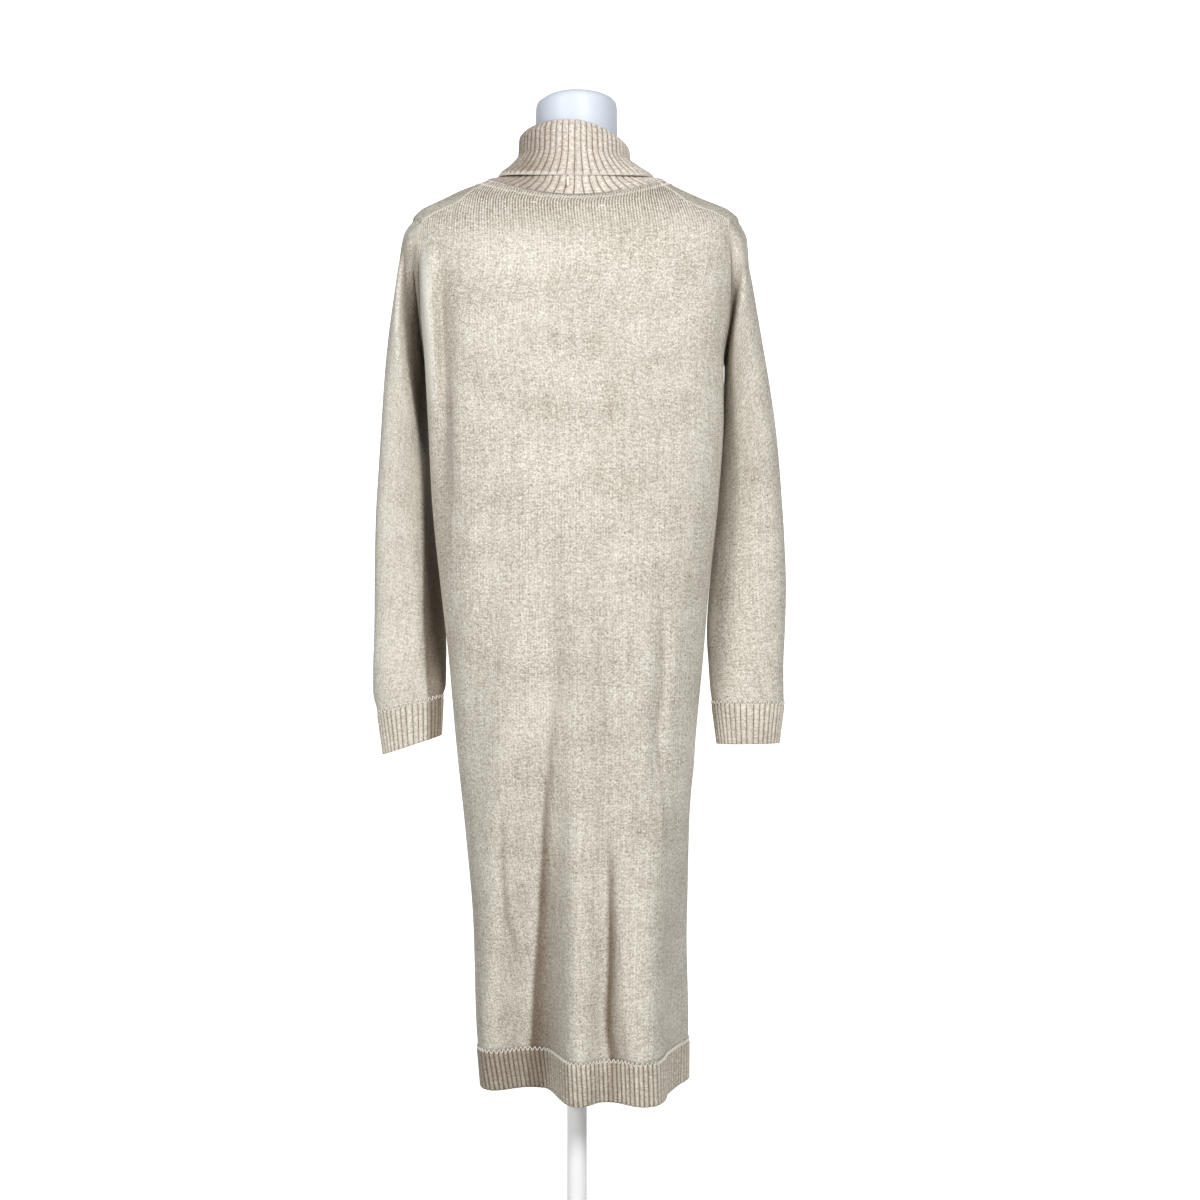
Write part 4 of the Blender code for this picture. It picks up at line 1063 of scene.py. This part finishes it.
# One ribbed tube from the neck seam up round the neck, over its fold and down outside itself: smooth
# curves through its rings, with ribs as |sin| on the side that shows.
def collar(name):
    count = collars["ribs"] * collars["perRib"]
    angle = turns(count)
    levels = np.array([[cloth["neckZ"] - cloth["probe"]], [cloth["neckZ"]]])
    below, seamRing = bodyPoints(angle[None, :], levels, folded=False)
    seamNormals = surfaceNormals(np.array([below, seamRing]), wrap=True)[1]
    rings = [seamRing + cloth["neckGap"] * unit(seamRing - below) - cloth["wall"] * seamNormals]
    for row in collarRows:
        left, right, back, front, sideZ, backZ, frontZ, tilt = row[:8]
        x, y, z = ringPoints((sideZ, backZ, frontZ, left, right, back, front, collars["power"]), angle)
        rings.append(np.stack([x, y, z + tilt * np.cos(angle)], axis=1))
    rings = np.array(rings)
    run = lengthUp(rings)
    at = np.linspace(0, run[-1], collars["rows"])
    grid = smoothRows(run, rings, at)
    over = smoothRows(run, np.array([0.0] + [row[8] for row in collarRows]), at)
    under = smoothRows(run, np.array([1.0] + [row[9] for row in collarRows]), at)
    normals = -surfaceNormals(grid, wrap=True)
    normals[0] = -seamNormals
    wave = ribWave(count, collars["perRib"]) * collars["relief"]
    rounding = 1 - np.clip((run[-1] - at) / collars["edge"], 0, 1)
    bend = cloth["wall"] * collars["thinned"] * rounding**2
    ribbed = (over * (1 - collars["ribsLost"] * rounding))[:, None] * wave
    facingOut = grid + (ribbed - bend[:, None])[..., None] * normals
    facingIn = grid - (cloth["wall"] + under[:, None] * wave)[..., None] * normals
    u = ribMap(count + 1, collars["perRib"])
    # Painted shade on the left of the collar, and a painted highlight along the rim in its place.
    tone = np.clip((grid[..., 0] - collars["shadeFrom"]) / collars["shadeOver"], 0, 1)
    tone = collars["leftShade"] * tone
    rim = np.clip(collars["paleFull"] - (run[-1] - at) / collars["paleOver"], 0, 1)[:, None]
    return putWall(name, facingIn, facingOut, True, rib, u, at, tone - (collars["paleRim"] + tone) * rim)


# The form: level, and how far its surface lies inside the cloth's; then the rings of its neck, in the
# columns of the body's.
formInsets = (
    (0.7, 0.062), (0.703, 0.044), (0.712, 0.029), (0.735, 0.022), (0.8, 0.019), (0.88, 0.023),
    (0.98, 0.036), (1.06, 0.028), (1.15, 0.015), (1.22, 0.0095), (1.29, 0.007), (1.3225, 0.0055),
    (1.345, 0.005), (1.361, 0.0048), (1.373, 0.0048),
)
formNeck = (
    (1.3725, 1.36, 1.344, 0.086, 0.084, 0.054, 0.0655, 2),
    (1.383, 1.38, 1.368, 0.064, 0.062, 0.0512, 0.0575, 2),
    (1.4, 1.4, 1.39, 0.0545, 0.053, 0.0502, 0.053, 2),
    (1.43, 1.43, 1.428, 0.0518, 0.0505, 0.05, 0.052, 2),
    (1.462, 1.469, 1.467, 0.0514, 0.0502, 0.05, 0.052, 2),
    (1.4705, 1.4755, 1.4745, 0.049, 0.0488, 0.0485, 0.05, 2),
    (1.474, 1.4785, 1.4775, 0.0435, 0.0455, 0.0445, 0.046, 2),
)
forms = {"columns": 144, "rows": 150}


# The limbless form: smooth curves through the body's rings, unfolded and moved in, and through a neck's.
def form(name):
    angle = turns(forms["columns"])
    levels, insets = np.array(formInsets).T
    torso = bodyPoints(angle[None, :], levels[:, None], folded=False)
    torso = torso - insets[:, None, None] * surfaceNormals(torso, wrap=True)
    low = levels < cloth["underarmZ"]
    torso[low, :, 2] = levels[low][:, None]
    neck = [np.stack(ringPoints(row, angle), axis=1) for row in formNeck]
    rings = np.concatenate([torso, np.array(neck)])
    run = lengthUp(rings)
    grid = smoothRows(run, rings, np.linspace(0, run[-1], forms["rows"]))
    return putClosed(name, grid, grid[0].mean(axis=0), grid[-1].mean(axis=0), shell)


# Outlines of the stand's parts: radius and height, and rims as radius, height and roundness.
stand = {
    "poleRadius": 0.0125,
    "poleLow": 0.0343,
    "poleHigh": 0.6997,
    "poleBevel": 0.0008,
    "poleBands": 8,
    "poleColumns": 64,
    "plate": ((0, 0), (0.149, 0), (0.150, 0.001)),
    "plateRim": (0.147, 0.009, 0.003),
    "rise": ((0.060, 0.0121), (0.029, 0.0123), (0.0275, 0.0126), (0.0265, 0.0135), (0.026, 0.015)),
    "socketRim": (0.0235, 0.0315, 0.0025),
    "socketTop": ((0.014, 0.034), (0, 0.034)),
    "baseColumns": 120,
    "sharpAngle": 40,
}


# A closed turned surface: a profile of (radius, height) swept round Z, with its ends on the axis.
def turned(name, profile, columns, material):
    radius, height = np.array(profile, float).T
    angle = turns(columns)
    ring = np.stack([np.cos(angle), np.sin(angle)], axis=1)
    flat = radius[1:-1, None, None] * ring
    tall = np.broadcast_to(height[1:-1, None, None], flat.shape[:2] + (1,))
    rings = np.concatenate([flat, tall], axis=2)
    made = putClosed(name, rings, (0, 0, height[0]), (0, 0, height[-1]), material)
    made.data.set_sharp_from_angle(angle=math.radians(stand["sharpAngle"]))
    return made


# Points of a quarter round at the rim of a profile, from its side to its top.
def rounded(radius, height, edge, steps=6):
    turn = np.radians(90 * np.arange(steps + 1) / steps)
    return [(radius + edge * math.cos(a), height + edge * math.sin(a)) for a in turn]


def pole(name):
    r, low, high = stand["poleRadius"], stand["poleLow"], stand["poleHigh"]
    bevel, bands = stand["poleBevel"], stand["poleBands"]
    profile = [(0, low), (r - bevel, low), (r, low + bevel)]
    profile += [(r, low + (high - low) * k / bands) for k in range(1, bands)]
    profile += [(r, high - bevel), (r - bevel, high), (0, high)]
    return turned(name, profile, stand["poleColumns"], paintwork)


def base(name):
    profile = [*stand["plate"], *rounded(*stand["plateRim"]), *stand["rise"]]
    profile += [*rounded(*stand["socketRim"]), *stand["socketTop"]]
    return turned(name, profile, stand["baseColumns"], paintwork)


# Every seam's yarn: sides of its tube, steps for each tooth, and its girth on the flat map.
yarn = {"sides": 6, "perTooth": 6, "girth": 0.003}


# A yarn swept along a line that zigzags across the seam's path: one tooth each pitch, half a width to
# either side, lifted off the cloth.
def seam(name, path, normals, look, closed=False):
    if closed:
        path, normals = np.concatenate([path, path[:1]]), np.concatenate([normals, normals[:1]])
    arc = lengthUp(path[:, None])
    count = max(round(arc[-1] / look["pitch"]), 2) * yarn["perTooth"]
    at = arc[-1] * np.arange(count + (not closed)) / count
    centre = np.stack([np.interp(at, arc, path[:, k]) for k in range(3)], axis=1)
    normal = unit(np.stack([np.interp(at, arc, normals[:, k]) for k in range(3)], axis=1))
    across = np.cross(normal, unit(stepsAlong(centre, 0, closed)))
    phase = 2 * np.pi * np.arange(len(at)) / yarn["perTooth"]
    swing = look["half"] * np.sin(phase)
    lift = look["lift"] + look["bob"] * np.cos(2 * phase)
    centre = centre + swing[:, None] * across + lift[:, None] * normal
    across = unit(np.cross(normal, unit(stepsAlong(centre, 0, closed))))
    turn = turns(yarn["sides"])[None, :, None]
    rings = centre[:, None] + look["yarn"] * (np.cos(turn) * across[:, None] + np.sin(turn) * normal[:, None])
    index = wrappedIndex(rings, closed)
    faces = quads(index[:-1, 1:], index[1:, 1:], index[1:, :-1], index[:-1, :-1]).tolist()
    if not closed:
        faces += [index[0, :-1].tolist(), index[-1, :-1][::-1].tolist()]
    u = np.tile(np.arange(yarn["sides"]) / yarn["sides"] * yarn["girth"], len(at))
    flatMap = np.stack([u, np.repeat(at, yarn["sides"])], axis=1)
    return putMesh(name, rings.reshape(-1, 3), faces, link, flatMap=flatMap)


linking = {"pitch": 0.0062, "half": 0.0023, "lift": 0.0007, "bob": 0.0003, "yarn": 0.0006}
neckLink = {"pitch": 0.0046, "half": 0.0021, "lift": 0.0003, "bob": 0.0003, "yarn": 0.0005}
tackYarn = {"pitch": 0.0022, "half": 0.0009, "lift": 0.0008, "bob": 0.0002, "yarn": 0.0007}
joinYarn = {"pitch": 0.0030, "half": 0.0005, "lift": 0.0016, "bob": 0.0001, "yarn": 0.0015}
shoulderStitch = {"pitch": 0.0036, "half": 0.0015, "lift": 0.0003, "bob": 0.0003, "yarn": 0.0006}
armholeStitch = {"pitch": 0.0036, "half": 0.0007, "lift": -0.0001, "bob": 0.0001, "yarn": 0.0006}
# How finely each seam's path is taken, and small distances that its slope needs.
paths = {"neck": 600, "tack": 3000, "hem": 900, "cuff": 240, "shoulder": 80, "armhole": 300}
aside = {"tackEnds": 0.1, "shoulder": 0.01, "armhole": 0.0006}
join = ((0.0102, 0.0654, 1.3550), (0.0102, 0.0646, 1.3610), (0.0102, 0.0638, 1.3665))
joinNormal = (0.18, 0.97, 0.15)
tacks = {"tackLeft": (0.0515, 1.3585, 0.0035), "tackRight": (-0.0310, 1.3560, 0.0040)}  # x, level, half
secondRow = 0.0045  # the neck's lower row of linking lies this far below the seam


# A ring round the body, at a level.
def neckSeam(name, drop):
    levels = np.array([[cloth["neckZ"] - drop - cloth["probe"]], [cloth["neckZ"] - drop]])
    rings = bodyPoints(turns(paths["neck"])[None, :], levels, folded=False)
    return seam(name, rings[1], surfaceNormals(rings, wrap=True)[1], neckLink, closed=True)


# A short bar of stitches lying across the back at x and a level.
def tack(name, x, level, half):
    angle = np.linspace(aside["tackEnds"], np.pi - aside["tackEnds"], paths["tack"])
    points = bodyPoints(angle[None, :], np.array([[level - cloth["probe"]], [level]]))
    normals = surfaceNormals(points, wrap=False)[1]
    near = np.abs(points[1, :, 0] - x) < half
    return seam(name, points[1][near], normals[near], tackYarn)


# The join of the collar's two ends, up the middle of the stand.
def collarJoin(name):
    return seam(name, np.array(join), np.array([joinNormal] * len(join)), joinYarn)


def hemSeam(name, first, last):
    top = cloth["hemZ"] + cloth["hemRib"]
    level = np.array([top - cloth["probe"], top])
    grid = evenColumns(level, np.full(2, first), np.full(2, last), paths["hem"])[0]
    normals = flatten(surfaceNormals(grid, wrap=False), (0, 0, 1))
    return seam(name, grid[1, 1:-1], normals[1, 1:-1], linking)


def cuffSeam(name, side, table):
    ring = sleeveRing(table[-1], side, paths["cuff"])
    if side < 0:
        ring = ring[::-1]
    axis = ringAxis(table[-1], side)
    outward = unit(np.cross(stepsAlong(ring, 0, closed=True), axis if axis[2] > 0 else -axis))
    return seam(name, ring + cloth["wall"] * outward, outward, linking, closed=True)


def shoulderSeam(name, side):
    level = np.linspace(cloth["shoulderZ"], cloth["neckZ"], paths["shoulder"])
    angle = sideAngle(level, tableAt(cloth["shoulderSeam"], level)[0])
    around = angle[:, None] + np.array([-aside["shoulder"], 0, aside["shoulder"]])
    grid = bodyPoints(around if side > 0 else np.pi - around, level[:, None])
    normals = surfaceNormals(grid if side > 0 else grid[:, ::-1], wrap=False)[:, 1]
    return seam(name, grid[:, 1], normals, shoulderStitch)


def armholeSeam(name, side):
    loop = armholeLoop(side, paths["armhole"])
    outward = unit((loop - loop.mean(axis=0)) * np.array([0, 1, 1]))
    return seam(name, loop + aside["armhole"] * outward, outward, armholeStitch, closed=True)


# Floor and backdrop in one: flat, then a quarter round, then upright.
def backdrop(name):
    turn, bend = np.linspace(0, np.pi / 2, stage["steps"]), stage["bend"]
    y = np.concatenate([[stage["near"]], stage["far"] - bend * np.sin(turn), [stage["far"] - bend]])
    z = np.concatenate([[0], bend * (1 - np.cos(turn)), [stage["tall"]]]) - stage["under"]
    x = np.array([stage["wide"] / 2, -stage["wide"] / 2])
    grid = np.stack(np.broadcast_arrays(x[None, :], y[:, None], z[:, None]), axis=-1)
    index = gridIndex(grid)
    faces = quads(index[1:, :-1], index[1:, 1:], index[:-1, 1:], index[:-1, :-1])
    made = putMesh(name, grid.reshape(-1, 3), faces.tolist(), stageMaterial("stagePaper"))


studio = {
    "key": {"place": (-1.1, 3.05, 2.6), "aim": (0, 0, 1.1), "size": 0.9, "watts": 101},
    "fill": {"place": (2.1, 2.7, 2.2), "aim": (0, 0, 1.1), "size": 0.9, "watts": 53},
    "world": 0.05,  # strength of the light from all round, and of the white that the lens sees
    "paper": 1.0,
}
view = {"place": (-0.02875, 2.75, 0.85), "turn": (90, 0, 180), "lens": 66, "sensor": 36}


def softBox(name, look):
    lamp = bpy.data.lights.new(name, "AREA")
    lamp.shape = "SQUARE"
    lamp.size = look["size"]
    lamp.energy = look["watts"]
    made = putObject(name, lamp)
    made.location = look["place"]
    made.rotation_euler = (Vector(look["aim"]) - Vector(look["place"])).to_track_quat("-Z", "Y").to_euler()


def addCamera():
    lens = bpy.data.cameras.new("camera")
    lens.lens = view["lens"]
    lens.sensor_width = view["sensor"]
    made = putObject("camera", lens)
    made.location = view["place"]
    made.rotation_euler = [math.radians(turn) for turn in view["turn"]]
    bpy.context.scene.camera = made


# A faint even light from all round. The lens sees plain white paper in its place.
def addWorld():
    paint = Paint(bpy.data.worlds.new("studio"), "World Output")
    paint.tree.nodes.remove(paint.tree.nodes["Background"])
    lights = [
        paint.node("ShaderNodeBackground", {}, {"Color": (1, 1, 1, 1), "Strength": strength})
        for strength in (studio["world"], studio["paper"])
    ]
    seen = paint.node("ShaderNodeLightPath", output="Is Camera Ray")
    both = paint.node("ShaderNodeMixShader", {}, {0: seen, 1: lights[0], 2: lights[1]})
    bpy.context.scene.world = paint.finish(Surface=both)


addCamera()
softBox("key", studio["key"])
softBox("fill", studio["fill"])
addWorld()
bpy.context.scene.view_settings.view_transform = "Standard"
backdrop("backdrop")
print("camera, lights and backdrop are in")

knit = knitMaterial("knit", knitLook)
rib = knitMaterial("rib", ribLook)
cuffRib = knitMaterial("cuffRib", cuffLook)
hemRib = knitMaterial("hemRib", hemLook)
link = knitMaterial("linkingYarn", linkLook)
shell = coatMaterial("formShell", formLook)
paintwork = coatMaterial("standPaint", standLook)

# piece, node it stands for, material slot
pieces = [
    (panel("dressBack"), "back", "knit_cloth"),
    (panel("dressFront"), "front", "knit_cloth"),
    (hem("hemBack"), "hem_back", "rib_cloth"),
    (hem("hemFront"), "hem_front", "rib_cloth"),
    (sleeve("sleeveLeft", 1, sleeveLeft), "sleeve_left", "knit_cloth"),
    (sleeve("sleeveRight", -1, sleeveRight), "sleeve_right", "knit_cloth"),
    (cuff("cuffLeft", 1, sleeveLeft, cuffEndLeft), "cuff_left", "rib_cloth"),
    (cuff("cuffRight", -1, sleeveRight, cuffEndRight), "cuff_right", "rib_cloth"),
    (collar("rollCollar"), "collar", "rib_cloth"),
    (form("dressForm"), "form_torso", "form_shell"),
    (pole("standPole"), "stand_pole", "stand_paint"),
    (base("standBase"), "stand_base", "stand_paint"),
]
for piece, node, slot in pieces:
    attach(piece, "root")
    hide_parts(node)
print("cloth, form and stand are in")

trims = [
    neckSeam("neckLinking", 0),
    neckSeam("neckLinkingLow", secondRow),
    collarJoin("collarJoin"),
    *[tack(name, *place) for name, place in tacks.items()],
    hemSeam("hemLinkingBack", 0, np.pi),
    hemSeam("hemLinkingFront", np.pi, 2 * np.pi),
    cuffSeam("cuffLinkingLeft", 1, sleeveLeft),
    cuffSeam("cuffLinkingRight", -1, sleeveRight),
    shoulderSeam("shoulderStitchLeft", 1),
    shoulderSeam("shoulderStitchRight", -1),
    armholeSeam("armholeStitchLeft", 1),
    armholeSeam("armholeStitchRight", -1),
]
for trim in trims:
    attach(trim, "root")
print("seams are in")
